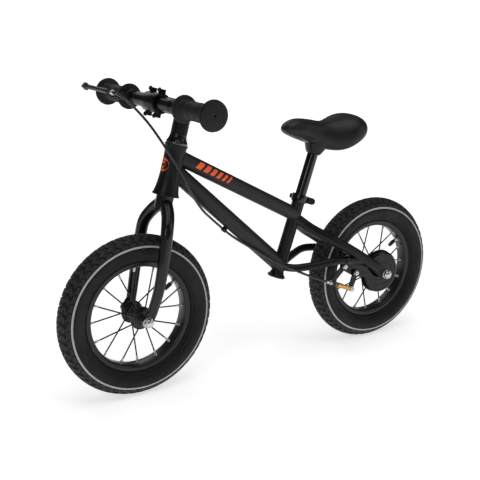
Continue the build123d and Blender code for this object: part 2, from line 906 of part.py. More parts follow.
def make_seat_clamp():
    """The split collar round the top of the seat tube, with its bolt and nut."""
    outer = seat_tube_radius + collar_wall
    ears = Vector(cos(radians(collar_azimuth)), sin(radians(collar_azimuth)), 0)
    ears = (ears - seat_up * ears.dot(seat_up)).normalized()
    along = seat_up.cross(ears)
    middle = on_seat_tube(collar_foot + collar_height / 2)
    lug = middle + ears * (outer + ear_radius - 1)
    half = clamp_gap / 2
    with BuildPart() as collar:
        add(rod(on_seat_tube(collar_foot), on_seat_tube(collar_foot + collar_height), outer))
        add(rod(lug - along * (half + ear_length), lug + along * (half + ear_length), ear_radius))
        with BuildSketch(Plane(origin=lug, x_dir=along, z_dir=seat_up)):
            Rectangle(clamp_gap, 4 * ear_radius)
        extrude(amount=collar_height, both=True, mode=Mode.SUBTRACT)
        add(
            rod(on_seat_tube(collar_foot - 1), on_seat_tube(seat_tube_length), seat_tube_radius + seam),
            mode=Mode.SUBTRACT,
        )
        add(
            rod(seat_foot, on_seat_tube(seat_tube_length + collar_height), post_radius + clear),
            mode=Mode.SUBTRACT,
        )
        add(rod(lug - along * 40, lug + along * 40, seat_bolt_radius + seam), mode=Mode.SUBTRACT)
    finish(collar, "seat_clamp")
    head = half + ear_length + seam
    with BuildPart() as bolt:
        add(rod(lug - along * (head + 6), lug + along * (head + 6), seat_bolt_radius))
        add(rod(lug + along * head, lug + along * (head + 6), seat_bolt_radius + 2.4))
        with BuildSketch(Plane(origin=lug - along * head, z_dir=-along)):
            RegularPolygon(seat_bolt_radius + 2.6, 6)
        extrude(amount=4.5)
    finish(bolt, "seat_clamp_bolt")


saddle_rear = -saddle_setback - saddle_length / 2
saddle_front = saddle_rear + saddle_length
saddle_top = on_seat_tube(neck_foot).Z + saddle_height


def saddle_outline(inset=0.0):
    """The pear-shaped plan of the saddle, nose forward, as a closed spline."""
    half = saddle_width / 2 - inset
    nose = saddle_nose_width / 2 - inset
    front = saddle_front - inset
    rear = saddle_rear + inset
    wide = saddle_rear + saddle_length * 0.30
    waist = saddle_rear + saddle_length * 0.62
    left = [(front, 0), (front - 12, nose * 0.72), (waist, nose + 6), (wide, half)]
    back = [(rear + 12, half * 0.72), (rear, 0)]
    right = [(x, -y) for x, y in reversed(left[1:] + back[:1])]
    return left + back + right


def saddle_side(stations, lower=0.0):
    """Side-view points along the saddle, each level given from its highest point."""
    return [(saddle_front - saddle_length * share, saddle_top + level - lower) for share, level in stations]


saddle_upper = ((0.0, -21), (0.06, -8), (0.16, -1), (0.32, -6), (0.45, -14), (0.60, -12), (0.76, 0))
saddle_upper += ((0.90, -5), (1.0, -30))
saddle_skirt = ((0.0, -29), (0.17, -40), (0.32, -48), (0.44, -60), (0.6, -70), (0.73, -67))
saddle_skirt += ((0.86, -57), (1.0, -42))
saddle_seat = ((0.0, -29), (0.25, -41), (0.45, -52), (0.65, -58), (0.85, -52), (1.0, -38))


def saddle_slice(inset, upper, lower):
    """The saddle's plan, inset by an amount, kept between two lines of its side view."""
    with BuildPart() as piece:
        with BuildSketch(Plane.XY.offset(saddle_top - 2 * saddle_height)):
            with BuildLine():
                Spline(*saddle_outline(inset), periodic=True)
            make_face()
        extrude(amount=3 * saddle_height)
        with BuildSketch(Plane.XZ):
            with BuildLine():
                above = Spline(*upper)
                below = Spline(*lower)
                Line(above @ 0, below @ 0)
                Line(above @ 1, below @ 1)
            make_face()
        extrude(amount=saddle_width, both=True, mode=Mode.INTERSECT)
    return piece.part


def make_saddle():
    """The padded top, and the moulded base inside it with a neck that sockets the post."""
    recess = saddle_slice(
        base_inset - clear, saddle_side(saddle_seat), saddle_side(saddle_seat, saddle_height)
    )
    with BuildPart() as pad:
        add(saddle_slice(0, saddle_side(saddle_upper), saddle_side(saddle_skirt)))
        add(recess, mode=Mode.SUBTRACT)
        keep_largest(pad)
    finish(pad, "saddle_pad")
    with BuildPart() as base:
        add(
            saddle_slice(
                base_inset,
                saddle_side(saddle_seat, clear),
                saddle_side(saddle_seat, clear + base_thickness),
            )
        )
        add(rod(on_seat_tube(neck_foot), on_seat_tube(post_head + neck_reach), neck_radius))
        add(pad.part, mode=Mode.SUBTRACT)
        keep_largest(base)
        add(
            rod(on_seat_tube(neck_foot - 1), on_seat_tube(post_head + seam), post_radius + seam),
            mode=Mode.SUBTRACT,
        )
    finish(base, "saddle_base")
    with BuildPart() as post:
        add(rod(on_seat_tube(post_foot), on_seat_tube(post_head), post_radius))
        add(
            rod(on_seat_tube(post_foot - 1), on_seat_tube(post_head + 1), post_radius - post_wall),
            mode=Mode.SUBTRACT,
        )
    finish(post, "seat_post")


# ---- Brake lever ------------------------------------------------------------------

lever_forward = Vector(cos(radians(lever_tilt)), 0, sin(radians(lever_tilt)))
lever_up = Vector(-sin(radians(lever_tilt)), 0, cos(radians(lever_tilt)))


def on_lever(forward, along, up=0.0):
    """A point of the lever's plane: ahead of the bar's axis, along it, above the plane."""
    return bar_centre + lever_forward * forward + Vector(0, along, 0) + lever_up * up


lever_plane = Plane(origin=bar_centre, x_dir=lever_forward, z_dir=lever_up)
barrel_end = lever_clamp_at + lever_clamp_width / 2 + barrel_length - barrel_in_bracket
cable_start = on_lever(lever_reach + lever_anchor, barrel_end)


def make_brake_lever():
    """The clamp bracket, the blade between its lugs, the pivot pin and the cable adjuster."""
    ring = bar_radius + lever_clamp_wall
    inner_side = lever_clamp_at + lever_clamp_width / 2
    outer_side = lever_clamp_at - lever_clamp_width / 2
    anchor = lever_reach + lever_anchor
    slot = lever_thickness / 2 + clear
    body = slot + lug_thickness
    pin_line = (on_lever(lever_reach, lever_pivot_at, -20), on_lever(lever_reach, lever_pivot_at, 20))
    with BuildPart() as bracket:
        add(rod(on_lever(0, outer_side), on_lever(0, inner_side), ring))
        with BuildSketch(lever_plane.offset(-body)):
            with Locations((anchor / 2 + 2, lever_clamp_at)):
                Rectangle(anchor + 4, lever_clamp_width)
            with Locations((lever_reach, lever_pivot_at)):
                Circle(lever_root_radius)
            with Locations((lever_reach, (lever_pivot_at + outer_side) / 2)):
                Rectangle(2 * lever_root_radius, outer_side - lever_pivot_at + 1)
        extrude(amount=2 * body)
        with BuildSketch(lever_plane.offset(-slot)):
            with Locations((lever_reach, outer_side - 25 + 0.2)):
                Rectangle(80, 50)
        extrude(amount=2 * slot, mode=Mode.SUBTRACT)
        add(
            rod(on_lever(0, outer_side - 9), on_lever(0, inner_side + 9), bar_radius + seam),
            mode=Mode.SUBTRACT,
        )
        add(rod(*pin_line, lever_pivot_radius + seam), mode=Mode.SUBTRACT)
        add(
            rod(on_lever(anchor, outer_side - 20), on_lever(anchor, inner_side + 1), barrel_radius - 1),
            mode=Mode.SUBTRACT,
        )
        add(
            rod(
                on_lever(anchor, inner_side - barrel_in_bracket),
                on_lever(anchor, inner_side + 1),
                barrel_radius + seam,
            ),
            mode=Mode.SUBTRACT,
        )
        add(
            rod(
                on_lever(clamp_screw_at, lever_clamp_at, -body - 1),
                on_lever(clamp_screw_at, lever_clamp_at, body + 1),
                clamp_screw_radius + seam,
            ),
            mode=Mode.SUBTRACT,
        )
    finish(bracket, "brake_lever_bracket")
    with BuildPart() as bolts:
        pin_low = on_lever(lever_reach, lever_pivot_at, -body - 2)
        pin_high = on_lever(lever_reach, lever_pivot_at, body + 2)
        add(rod(pin_low, pin_high, lever_pivot_radius))
        add(rod(on_lever(lever_reach, lever_pivot_at, body + seam), pin_high, lever_pivot_radius + 2))
        screw_low = on_lever(clamp_screw_at, lever_clamp_at, -body - 4)
        add(rod(screw_low, on_lever(clamp_screw_at, lever_clamp_at, body), clamp_screw_radius))
        add(rod(screw_low, on_lever(clamp_screw_at, lever_clamp_at, -body - seam), clamp_screw_radius + 1.7))
    finish(bolts, "lever_bolts")
    with BuildPart() as barrel:
        inner_end = on_lever(anchor, inner_side - barrel_in_bracket + seam)
        add(rod(inner_end, on_lever(anchor, barrel_end), barrel_radius))
        add(rod(on_lever(anchor, inner_side + seam), on_lever(anchor, inner_side + 3), locknut_radius))
        add(
            rod(on_lever(anchor, inner_side - 7), on_lever(anchor, barrel_end + 1), wire_radius + clear),
            mode=Mode.SUBTRACT,
        )
    finish(barrel, "lever_cable_barrel")
    tip_forward = lever_reach + lever_spread
    tip_along = lever_pivot_at - lever_length
    heel = lever_pivot_at - 18
    with BuildPart() as blade:
        with BuildSketch(lever_plane.offset(-lever_thickness / 2)):
            with Locations((lever_reach, lever_pivot_at)):
                Circle(lever_root_radius)
            with Locations((anchor, lever_pivot_at)):
                Circle(4.5)
            with Locations((lever_reach + 7, heel)):
                Circle(blade_root_width / 2)
            make_hull()
            with BuildLine():
                back = Spline(
                    (lever_reach + 1, heel),
                    (tip_forward - 8, (heel + tip_along) / 2),
                    (tip_forward - blade_tip_width / 2, tip_along),
                )
                front = Spline(
                    (lever_reach + 13, heel),
                    (tip_forward + 2, (heel + tip_along) / 2),
                    (tip_forward + blade_tip_width / 2, tip_along),
                )
                Line(back @ 0, front @ 0)
                Line(back @ 1, front @ 1)
            make_face()
            with Locations((tip_forward, tip_along)):
                Circle(blade_tip_width / 2 + 1)
        extrude(amount=lever_thickness)
        add(rod(*pin_line, lever_pivot_radius + running_gap), mode=Mode.SUBTRACT)
    finish(blade, "brake_lever")


# ---- Rear band brake ----------------------------------------------------------------


def by_rear_hub(point, side):
    """A point given forward of and above the rear axle."""
    return rear_hub + Vector(point[0], side, point[1])


reaction_face = cover_inner_face + cover_wall + seam
stop_face = reaction_face + plate_thickness + seam
arm_face = reaction_face + plate_thickness + clear
tab_face = stop_face + stop_thickness + seam
pull = (by_rear_hub(arm_pinch, cable_line) - by_rear_hub(stop_point, cable_line)).normalized()
stop_centre = by_rear_hub(stop_point, cable_line)
cable_end = stop_centre - pull * (barrel_length / 2 + 2)


def plate(outlines, face, thickness, holes=()):
    """A flat plate facing the rider's left, hulled round circles given from the rear axle."""
    with BuildPart() as piece:
        with BuildSketch(across(rear_hub, face)):
            for x, z, radius in outlines:
                with Locations((x, z)):
                    Circle(radius)
            make_hull()
            for x, z, radius in holes:
                with Locations((x, z)):
                    Circle(radius, mode=Mode.SUBTRACT)
        extrude(amount=-thickness)
    return piece


def make_brake():
    """The drum, the band round it, the dished cover and its reaction arm, and the pull arm."""
    spacer = axle_radius + cone_flank + seam
    face = flange_spacing / 2 + seam
    axle_line = Axis(rear_hub, (0, 1, 0))
    with BuildPart() as drum:
        with BuildSketch(wheel_profile(rear_hub)):
            with BuildLine():
                Polyline(
                    (face, bearing_radius + 1),
                    (face, hub_end_radius + 3),
                    (drum_inner_face, hub_end_radius + 3),
                    (drum_inner_face, drum_radius),
                    (drum_inner_face + drum_width, drum_radius),
                    (drum_inner_face + drum_width, drum_radius - drum_wall),
                    (drum_inner_face + drum_wall, drum_radius - drum_wall),
                    (drum_inner_face + drum_wall, bearing_radius + 1),
                    close=True,
                )
            make_face()
        revolve(axis=axle_line)
    finish(drum, "brake_drum")

    band_inner = drum_radius + band_gap
    band_outer = band_inner + band_thickness
    band_face = drum_inner_face + 1
    band_width = drum_width - 2
    with BuildPart() as band:
        with BuildSketch(across(rear_hub, band_face)):
            Circle(band_outer)
            with Locations((band_outer + 6, 12), (band_outer + 6, -2)):
                Rectangle(28, 2.5)
            Circle(band_inner, mode=Mode.SUBTRACT)
            with Locations((band_inner + 8, 5)):
                Rectangle(24, 9, mode=Mode.SUBTRACT)
        extrude(amount=-band_width)
    finish(band, "brake_band")

    with BuildPart() as cover:
        with BuildSketch(wheel_profile(rear_hub)):
            with BuildLine():
                Polyline(
                    (cover_inner_face, spacer),
                    (cover_inner_face, cover_radius - cover_wall),
                    (cover_inner_face - cover_lip, cover_radius - cover_wall),
                    (cover_inner_face - cover_lip, cover_radius),
                    (cover_inner_face + cover_wall, cover_radius),
                    (cover_inner_face + cover_wall, spacer),
                    close=True,
                )
            make_face()
        revolve(axis=axle_line)
        with BuildSketch(across(rear_hub, cover_inner_face - cover_lip - 1)):
            with Locations((cover_radius, 5)):
                Rectangle(30, 26)
        extrude(amount=-cover_lip - 1 + seam, mode=Mode.SUBTRACT)
    finish(cover, "brake_cover")

    bolt_hole = brake_bolt_radius + seam
    reaction = plate(
        ((0, 0, 14), (*arm_pivot, 8), (*strap_point, 8)),
        reaction_face,
        plate_thickness,
        ((0, 0, spacer), (*arm_pivot, bolt_hole), (*strap_point, bolt_hole)),
    )
    finish(reaction, "brake_reaction_arm")

    arm = plate(
        ((*arm_pivot, 7), (*arm_pinch, 6)),
        arm_face,
        plate_thickness,
        ((*arm_pivot, brake_bolt_radius + running_gap), (*arm_pinch, bolt_hole)),
    )
    finish(arm, "brake_arm")

    block = 9.0
    stop_plate = plate(
        ((*strap_point, 7), (*stop_point, 6)), stop_face, stop_thickness, ((*strap_point, bolt_hole),)
    )
    with BuildPart() as stop:
        add(stop_plate.part)
        with BuildSketch(Plane(origin=stop_centre - pull * block / 2, x_dir=(0, 1, 0), z_dir=pull)):
            with Locations((stop_face / 2 - cable_line / 2, 0)):
                Rectangle(cable_line - stop_face + 2 * (barrel_radius + 2), 2 * (barrel_radius + 2))
        extrude(amount=block)
        add(rod(stop_centre - pull * 20, stop_centre + pull * 20, barrel_radius + seam), mode=Mode.SUBTRACT)
        split(bisect_by=Plane(origin=(0, stop_face, 0), z_dir=(0, 1, 0)), keep=Keep.TOP)
    finish(stop, "cable_stop")

    half = barrel_length / 2 + 2
    nut_face = stop_centre - pull * (block / 2 + seam)
    with BuildPart() as barrel:
        add(rod(stop_centre - pull * half, stop_centre + pull * half, barrel_radius))
        add(rod(nut_face - pull * 3, nut_face, locknut_radius))
        add(rod(stop_centre - pull * 20, stop_centre + pull * 20, wire_radius + seam), mode=Mode.SUBTRACT)
    finish(barrel, "rear_cable_barrel")

    bolted = ((arm_pivot, arm_face + plate_thickness), (strap_point, tab_face + strap_wall))
    with BuildPart() as bolts:
        for point, head_face in bolted:
            low = by_rear_hub(point, reaction_face - 3)
            head = by_rear_hub(point, head_face + seam)
            top = by_rear_hub(point, head_face + 3.5)
            add(rod(low, top, brake_bolt_radius))
            add(rod(head, top, brake_bolt_head))
            add(rod(low, by_rear_hub(point, reaction_face - seam), brake_bolt_head))
    finish(bolts, "brake_bolts")

    with BuildPart() as pinch:
        low = by_rear_hub(arm_pinch, arm_face - 2)
        add(rod(low, by_rear_hub(arm_pinch, cable_line + 4), brake_bolt_radius))
        add(
            rod(
                by_rear_hub(arm_pinch, arm_face + plate_thickness + seam),
                by_rear_hub(arm_pinch, cable_line + 2.5),
                brake_bolt_head + 1,
            )
        )
    finish(pinch, "cable_pinch_bolt")

    wire_end = by_rear_hub(arm_pinch, cable_line) - pull * (brake_bolt_head + 1 + seam)
    with BuildPart() as wire:
        add(rod(stop_centre - pull * half, wire_end, wire_radius))
    finish(wire, "brake_wire")

    with BuildPart() as strap:
        centre = Vector(strap_centre.X, chain_stay_side, strap_centre.Z)
        ends = [centre - strap_run * strap_width / 2, centre + strap_run * strap_width / 2]
        add(rod(*ends, chain_stay_radius + strap_wall + seam))
        low = by_rear_hub(strap_point, tab_face)
        with BuildSketch(Plane(origin=low, x_dir=(1, 0, 0), z_dir=(0, 1, 0))):
            with Locations((0, -(strap_centre.Z - low.Z) / 2 + 3)):
                Rectangle(strap_width, strap_centre.Z - low.Z + 8)
        extrude(amount=strap_wall)
        far = (ends[1] - ends[0]) * 3
        add(rod(ends[0] - far, ends[1] + far, chain_stay_radius + seam), mode=Mode.SUBTRACT)
        add(rod(low - Vector(0, 9, 0), low + Vector(0, 9, 0), bolt_hole), mode=Mode.SUBTRACT)
    finish(strap, "brake_strap")


chain_bend = Vector(chain_stay_bend[0], 0, chain_stay_bend[1])
strap_run = (Vector(chain_stay_end[0], 0, chain_stay_end[1]) - chain_bend).normalized()
strap_centre = chain_bend + strap_run * strap_at


# ---- Brake cable ----------------------------------------------------------------------

guide_point = down_tube_front + down_run * guide_at + below_down_tube * (down_tube_radius + guide_standoff)


def make_cable():
    """The outer cable: the free loop from the lever to the guide, then the run to the brake."""
    lead = down_run * 22
    front_route = [
        cable_start,
        cable_start + Vector(0, 20, 0),
        Vector(262, -38, 542),
        Vector(246, -4, 513),
        Vector(230, 20, 478),
        Vector(208, 33, 436),
        Vector(184, 30, 392),
        Vector(150, 18, 344),
        guide_point - lead * 1.6,
        guide_point,
    ]
    rear_route = [
        guide_point,
        guide_point + lead,
        Vector(33, 13, 249),
        Vector(3, 20, 228),
        Vector(-30, 34, 208),
        Vector(-66, 48, 190),
        Vector(-100, cable_line, 173.5),
        cable_end,
    ]
    for route, name in ((front_route, "brake_cable_front"), (rear_route, "brake_cable_rear")):
        finish(bent_tube(route, corner_radii(route), cable_radius), name)
    with BuildPart() as guide:
        outer = cable_radius + guide_wall
        ends = [guide_point - down_run * guide_length / 2, guide_point + down_run * guide_length / 2]
        add(rod(*ends, outer))
        with BuildSketch(Plane(origin=guide_point, x_dir=down_run, z_dir=-below_down_tube)):
            Rectangle(guide_length, outer)
        extrude(amount=guide_standoff + down_tube_radius)
        add(rod(down_tube_front, down_tube_rear, down_tube_radius + seam), mode=Mode.SUBTRACT)
        far = down_run * 40
        add(rod(guide_point - far, guide_point + far, cable_radius + seam), mode=Mode.SUBTRACT)
    finish(guide, "cable_guide")


# ---- Assembly -----------------------------------------------------------------------------


def main():
    os.makedirs("parts", exist_ok=True)
    drum_side = flange_spacing / 2 + clear
    wheels = (
        ("front", front_hub, front_dropout_spacing),
        ("rear", rear_hub, rear_dropout_spacing),
    )
    for end, hub, spacing in wheels:
        make_tyre(hub, f"{end}_tyre")
        make_inner_tube(hub, f"{end}_inner_tube")
        make_rim(hub, f"{end}_rim")
        make_spokes(hub, f"{end}_spokes")
        make_hub(hub, f"{end}_hub")
        make_hub_bearings(hub, f"{end}_hub_bearings")
        make_axle(hub, spacing, drum_side, f"{end}_axle")
        make_axle_nuts(hub, spacing, f"{end}_axle_nuts")
    head = make_head_tube()
    make_headset_bearings()
    stem_base = make_steering_rings()
    make_fork()
    make_stem(stem_base)
    make_handlebar()
    make_grip(LEFT, "grip_left")
    make_grip(RIGHT, "grip_right")
    seat = make_seat_tube()
    seat_core, top, down = make_main_tubes(head, seat)
    make_stays(seat_core, top, down)
    make_seat_clamp()
    make_saddle()
    make_brake_lever()
    make_brake()
    make_cable()


if __name__ == "__main__":
    main()
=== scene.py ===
"""Looks of the balance bike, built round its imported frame. Metres; +X forward, +Y left, +Z up."""

import json
import math

import bmesh
import bpy
import numpy as np
from mathutils import Matrix, Vector
from mathutils.bvhtree import BVHTree

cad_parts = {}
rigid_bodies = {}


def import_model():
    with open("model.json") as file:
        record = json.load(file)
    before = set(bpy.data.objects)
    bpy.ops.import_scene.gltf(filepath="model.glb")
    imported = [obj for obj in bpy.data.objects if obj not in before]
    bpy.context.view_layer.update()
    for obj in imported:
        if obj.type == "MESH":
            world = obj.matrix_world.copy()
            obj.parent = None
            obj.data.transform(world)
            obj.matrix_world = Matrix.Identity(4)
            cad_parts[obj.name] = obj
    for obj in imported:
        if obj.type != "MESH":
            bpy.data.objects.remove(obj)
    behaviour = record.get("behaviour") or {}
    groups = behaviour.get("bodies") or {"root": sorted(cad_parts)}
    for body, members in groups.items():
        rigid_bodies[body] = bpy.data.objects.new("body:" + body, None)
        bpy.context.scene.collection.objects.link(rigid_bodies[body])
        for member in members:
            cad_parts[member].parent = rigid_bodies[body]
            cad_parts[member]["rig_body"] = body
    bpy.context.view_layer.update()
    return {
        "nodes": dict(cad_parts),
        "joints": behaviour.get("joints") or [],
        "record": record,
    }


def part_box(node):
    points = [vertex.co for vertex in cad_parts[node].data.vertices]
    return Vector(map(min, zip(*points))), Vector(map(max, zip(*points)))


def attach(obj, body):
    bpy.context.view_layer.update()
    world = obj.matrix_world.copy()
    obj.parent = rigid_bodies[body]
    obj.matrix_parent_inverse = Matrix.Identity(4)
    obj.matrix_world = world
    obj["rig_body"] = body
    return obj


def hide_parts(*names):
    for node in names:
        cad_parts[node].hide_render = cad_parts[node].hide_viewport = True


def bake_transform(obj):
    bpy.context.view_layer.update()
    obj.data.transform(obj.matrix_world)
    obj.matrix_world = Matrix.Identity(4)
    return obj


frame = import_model()
nodes = frame["nodes"]
record = frame["record"]

MM = 0.001
LEFT, RIGHT = 1, -1
Y_AXIS = Vector((0, 1, 0))
slot_of = {part["node"]: part["material_slot"] for part in record["subparts"]}
joints = {joint["name"]: joint for joint in frame["joints"]}


def middle(node):
    low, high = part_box(node)
    return (low + high) / 2


# ---- Places taken from the frame ----

front_hub = middle("front_rim")
rear_hub = middle("rear_rim")
bar_centre = middle("handlebar")
steer_up = Vector(joints["steering"]["axis"])
steer_foot = Vector(joints["steering"]["pos_m"])
steer_forward = Y_AXIS.cross(steer_up)
seat_up = Vector(joints["seat_height"]["axis"])
seat_forward = Y_AXIS.cross(seat_up)
seat_foot = Vector((-0.035, 0, 0.176))
lever_tilt = math.radians(15)
lever_forward = Vector((math.cos(lever_tilt), 0, math.sin(lever_tilt)))
lever_up = Vector((-math.sin(lever_tilt), 0, math.cos(lever_tilt)))


def on_steerer(height, forward=0.0, side=0.0):
    return steer_foot + (steer_up * height + steer_forward * forward + Y_AXIS * side) * MM


def on_seat_tube(height, forward=0.0, side=0.0):
    return seat_foot + (seat_up * height + seat_forward * forward + Y_AXIS * side) * MM


def on_lever(forward, along, up=0.0):
    return bar_centre + (lever_forward * forward + Y_AXIS * along + lever_up * up) * MM


def by_rear_hub(forward, up, side):
    return rear_hub + Vector((forward, side, up)) * MM


# ---- Materials ----

NOISE_SPAN = (0.3, 0.7)  # the part of a noise's values that is spread over the full range
WORN_POINTINESS = (0.56, 0.68)
CRACK_WIDTH = 0.18


def ranged(tree, value, source, target=(0.0, 1.0)):
    """A value with its source range mapped to the target range."""
    node = tree.nodes.new("ShaderNodeMapRange")
    for name, number in zip(("From Min", "From Max", "To Min", "To Max"), (*source, *target)):
        node.inputs[name].default_value = number
    tree.links.new(value, node.inputs["Value"])
    return node.outputs["Result"]


def material(
    name,
    color,
    rough,
    metallic=0.0,
    specular=0.5,
    coat=0.0,
    coat_rough=0.1,
    sheen=0.0,
    mottle=(8.0, 0.15),
    rough_mottle=(20.0, 0.08),
    grain=(900.0, 0.2, 0.00005),
    cells=None,
    wear=None,
    stretch=None,
):
    """A Principled surface with mottled colour and roughness, a grain bump, and worn edges.

    mottle and rough_mottle are (scale, share); grain and cells (scale, strength, depth in metres).
    """
    made = bpy.data.materials.new(name)
    made.use_nodes = True
    tree = made.node_tree
    make, link = tree.nodes.new, tree.links.new
    shader = tree.nodes["Principled BSDF"]
    shader.inputs["Metallic"].default_value = metallic
    shader.inputs["Specular IOR Level"].default_value = specular
    shader.inputs["Coat Weight"].default_value = coat
    shader.inputs["Coat Roughness"].default_value = coat_rough
    shader.inputs["Sheen Weight"].default_value = sheen
    place = make("ShaderNodeTexCoord").outputs["Object"]
    if stretch:
        mapping = make("ShaderNodeMapping")
        mapping.inputs["Scale"].default_value = stretch
        link(place, mapping.inputs["Vector"])
        place = mapping.outputs["Vector"]

    def noise(scale, detail=3.0):
        node = make("ShaderNodeTexNoise")
        node.inputs["Scale"].default_value = scale
        node.inputs["Detail"].default_value = detail
        link(place, node.inputs["Vector"])
        return node.outputs["Fac"]

    def bumped(height, strength, depth):
        node = make("ShaderNodeBump")
        node.inputs["Strength"].default_value = strength
        node.inputs["Distance"].default_value = depth
        link(height, node.inputs["Height"])
        return node

    def mix(share, first, second):
        node = make("ShaderNodeMix")
        node.data_type = "RGBA"
        link(share, node.inputs["Factor"])
        for socket, value in (("A", first), ("B", second)):
            if isinstance(value, bpy.types.NodeSocket):
                link(value, node.inputs[socket])
            else:
                node.inputs[socket].default_value = (*value, 1)
        return node.outputs["Result"]

    scale, amount = mottle
    dark = [c * (1 - amount) for c in color]
    light = [c * (1 + amount) for c in color]
    tint = mix(ranged(tree, noise(scale), NOISE_SPAN), dark, light)
    if wear:
        pointiness = make("ShaderNodeNewGeometry").outputs["Pointiness"]
        worn = wear if isinstance(wear, tuple) else (wear, wear, wear)
        tint = mix(ranged(tree, pointiness, WORN_POINTINESS), tint, worn)
    link(tint, shader.inputs["Base Color"])
    scale, amount = rough_mottle
    roughness = ranged(tree, noise(scale), NOISE_SPAN, (rough - amount, rough + amount))
    link(roughness, shader.inputs["Roughness"])
    scale, strength, depth = grain
    bump = bumped(noise(scale, 2.0), strength, depth)
    if cells:
        scale, strength, depth = cells
        crackle = make("ShaderNodeTexVoronoi")
        crackle.feature = "DISTANCE_TO_EDGE"
        crackle.inputs["Scale"].default_value = scale
        link(place, crackle.inputs["Vector"])
        height = ranged(tree, crackle.outputs["Distance"], (0.0, CRACK_WIDTH))
        crazed = bumped(height, strength, depth)
        link(bump.outputs["Normal"], crazed.inputs["Normal"])
        bump = crazed
    link(bump.outputs["Normal"], shader.inputs["Normal"])
    return made


FINE = (1400.0, 0.25, 0.00004)
surfaces = {
    "frame_paint": material(
        "matte_powder_coat", (0.005, 0.005, 0.0053), 0.4, specular=0.24,
        grain=(1500.0, 0.35, 0.00005), wear=0.03,
    ),
    "fork_paint": material(
        "satin_black_paint", (0.004, 0.004, 0.0043), 0.24, specular=0.32, coat=0.1,
        grain=(500.0, 0.12, 0.00005), wear=0.02,
    ),
    "post_paint": material(
        "gloss_black_paint", (0.003, 0.003, 0.003), 0.14, specular=0.4, coat=0.2, coat_rough=0.06,
        grain=(300.0, 0.05, 0.00004), rough_mottle=(30.0, 0.04),
    ),
    "black_bolts": material(
        "black_oxide", (0.02, 0.02, 0.021), 0.36, metallic=0.75, grain=FINE,
        wear=0.12,
    ),
    "black_plastic": material(
        "moulded_plastic", (0.008, 0.008, 0.0085), 0.4, specular=0.45,
        grain=(800.0, 0.3, 0.00006), wear=0.02,
    ),
    "saddle_cover": material(
        "saddle_vinyl", (0.006, 0.006, 0.0063), 0.44, specular=0.32, sheen=0.02,
        grain=(260.0, 0.2, 0.0001), cells=(900.0, 0.35, 0.00008), rough_mottle=(35.0, 0.05),
    ),
    "rubber_grip": material(
        "grip_rubber", (0.007, 0.007, 0.0075), 0.56, specular=0.26, sheen=0.02,
        grain=(1100.0, 0.5, 0.00008), wear=0.03,
    ),
    "tyre": material(
        "tyre_rubber", (0.0065, 0.0065, 0.0068), 0.58, specular=0.24, sheen=0.02,
        grain=(420.0, 0.4, 0.00012), mottle=(14.0, 0.25), rough_mottle=(60.0, 0.1),
        wear=0.04,
    ),
    "inner_rubber": material("butyl_rubber", (0.012, 0.012, 0.012), 0.55, grain=FINE),
    "rim_paint": material(
        "rim_black", (0.009, 0.009, 0.0095), 0.3, metallic=0.25, specular=0.5,
        grain=(700.0, 0.15, 0.00004), wear=0.10,
    ),
    "brake_paint": material(
        "gloss_black_steel", (0.0025, 0.0025, 0.0028), 0.14, specular=0.3,
        grain=(300.0, 0.1, 0.00005), wear=0.09,
    ),
    "steel": material(
        "plain_steel", (0.5, 0.5, 0.5), 0.3, metallic=1.0, mottle=(60.0, 0.12),
        grain=(900.0, 0.3, 0.00004), stretch=(1, 6, 1),
    ),
    "chrome": material(
        "bright_plating", (0.56, 0.565, 0.57), 0.2, metallic=1.0, mottle=(40.0, 0.06),
        rough_mottle=(90.0, 0.05), grain=(500.0, 0.1, 0.00004),
    ),
    "zinc_yellow": material(
        "yellow_zinc", (0.58, 0.34, 0.09), 0.34, metallic=1.0, mottle=(70.0, 0.3),
        rough_mottle=(120.0, 0.08), grain=(700.0, 0.25, 0.00005), wear=(0.85, 0.72, 0.42),
    ),
    "cable_cover": material(
        "cable_sleeve", (0.009, 0.009, 0.0095), 0.3, specular=0.5, grain=(1600.0, 0.3, 0.00004),
    ),
}
orange_ink = material(
    "orange_ink", (0.86, 0.105, 0.018), 0.42, specular=0.4, mottle=(40.0, 0.07), grain=FINE
)
dark_ink = material("dark_ink", (0.010, 0.010, 0.0105), 0.45, mottle=(40.0, 0.1), grain=FINE)
nipple_plate = material("nipple_plating", (0.72, 0.72, 0.73), 0.3, metallic=0.7, grain=FINE)
ring_steel = material("ring_steel", (0.16, 0.16, 0.165), 0.26, metallic=1.0, grain=FINE)
bar_black = material(
    "bar_black", (0.0035, 0.0035, 0.0038), 0.3, specular=0.12, grain=(500.0, 0.1, 0.00004)
)
reflective = material(
    "reflective_line", (0.42, 0.42, 0.425), 0.4, specular=0.5, mottle=(900.0, 0.35),
    grain=(1500.0, 0.6, 0.0001),
)
spoke_black = material(
    "spoke_black", (0.012, 0.012, 0.0125), 0.3, metallic=0.6, grain=FINE, mottle=(90.0, 0.2)
)
base_gloss = material(
    "saddle_base_plastic", (0.006, 0.006, 0.0063), 0.3, specular=0.25, grain=(260.0, 0.12, 0.00008)
)


# ---- Mesh tools ----


def across_axis(axis):
    """Two unit vectors square to an axis and to each other."""
    helper = Vector((0, 0, 1)) if abs(axis.z) < 0.9 else Vector((1, 0, 0))
    first = axis.cross(helper).normalized()
    return first, axis.cross(first).normalized()


LEAST_RADIUS = 1e-4  # mm


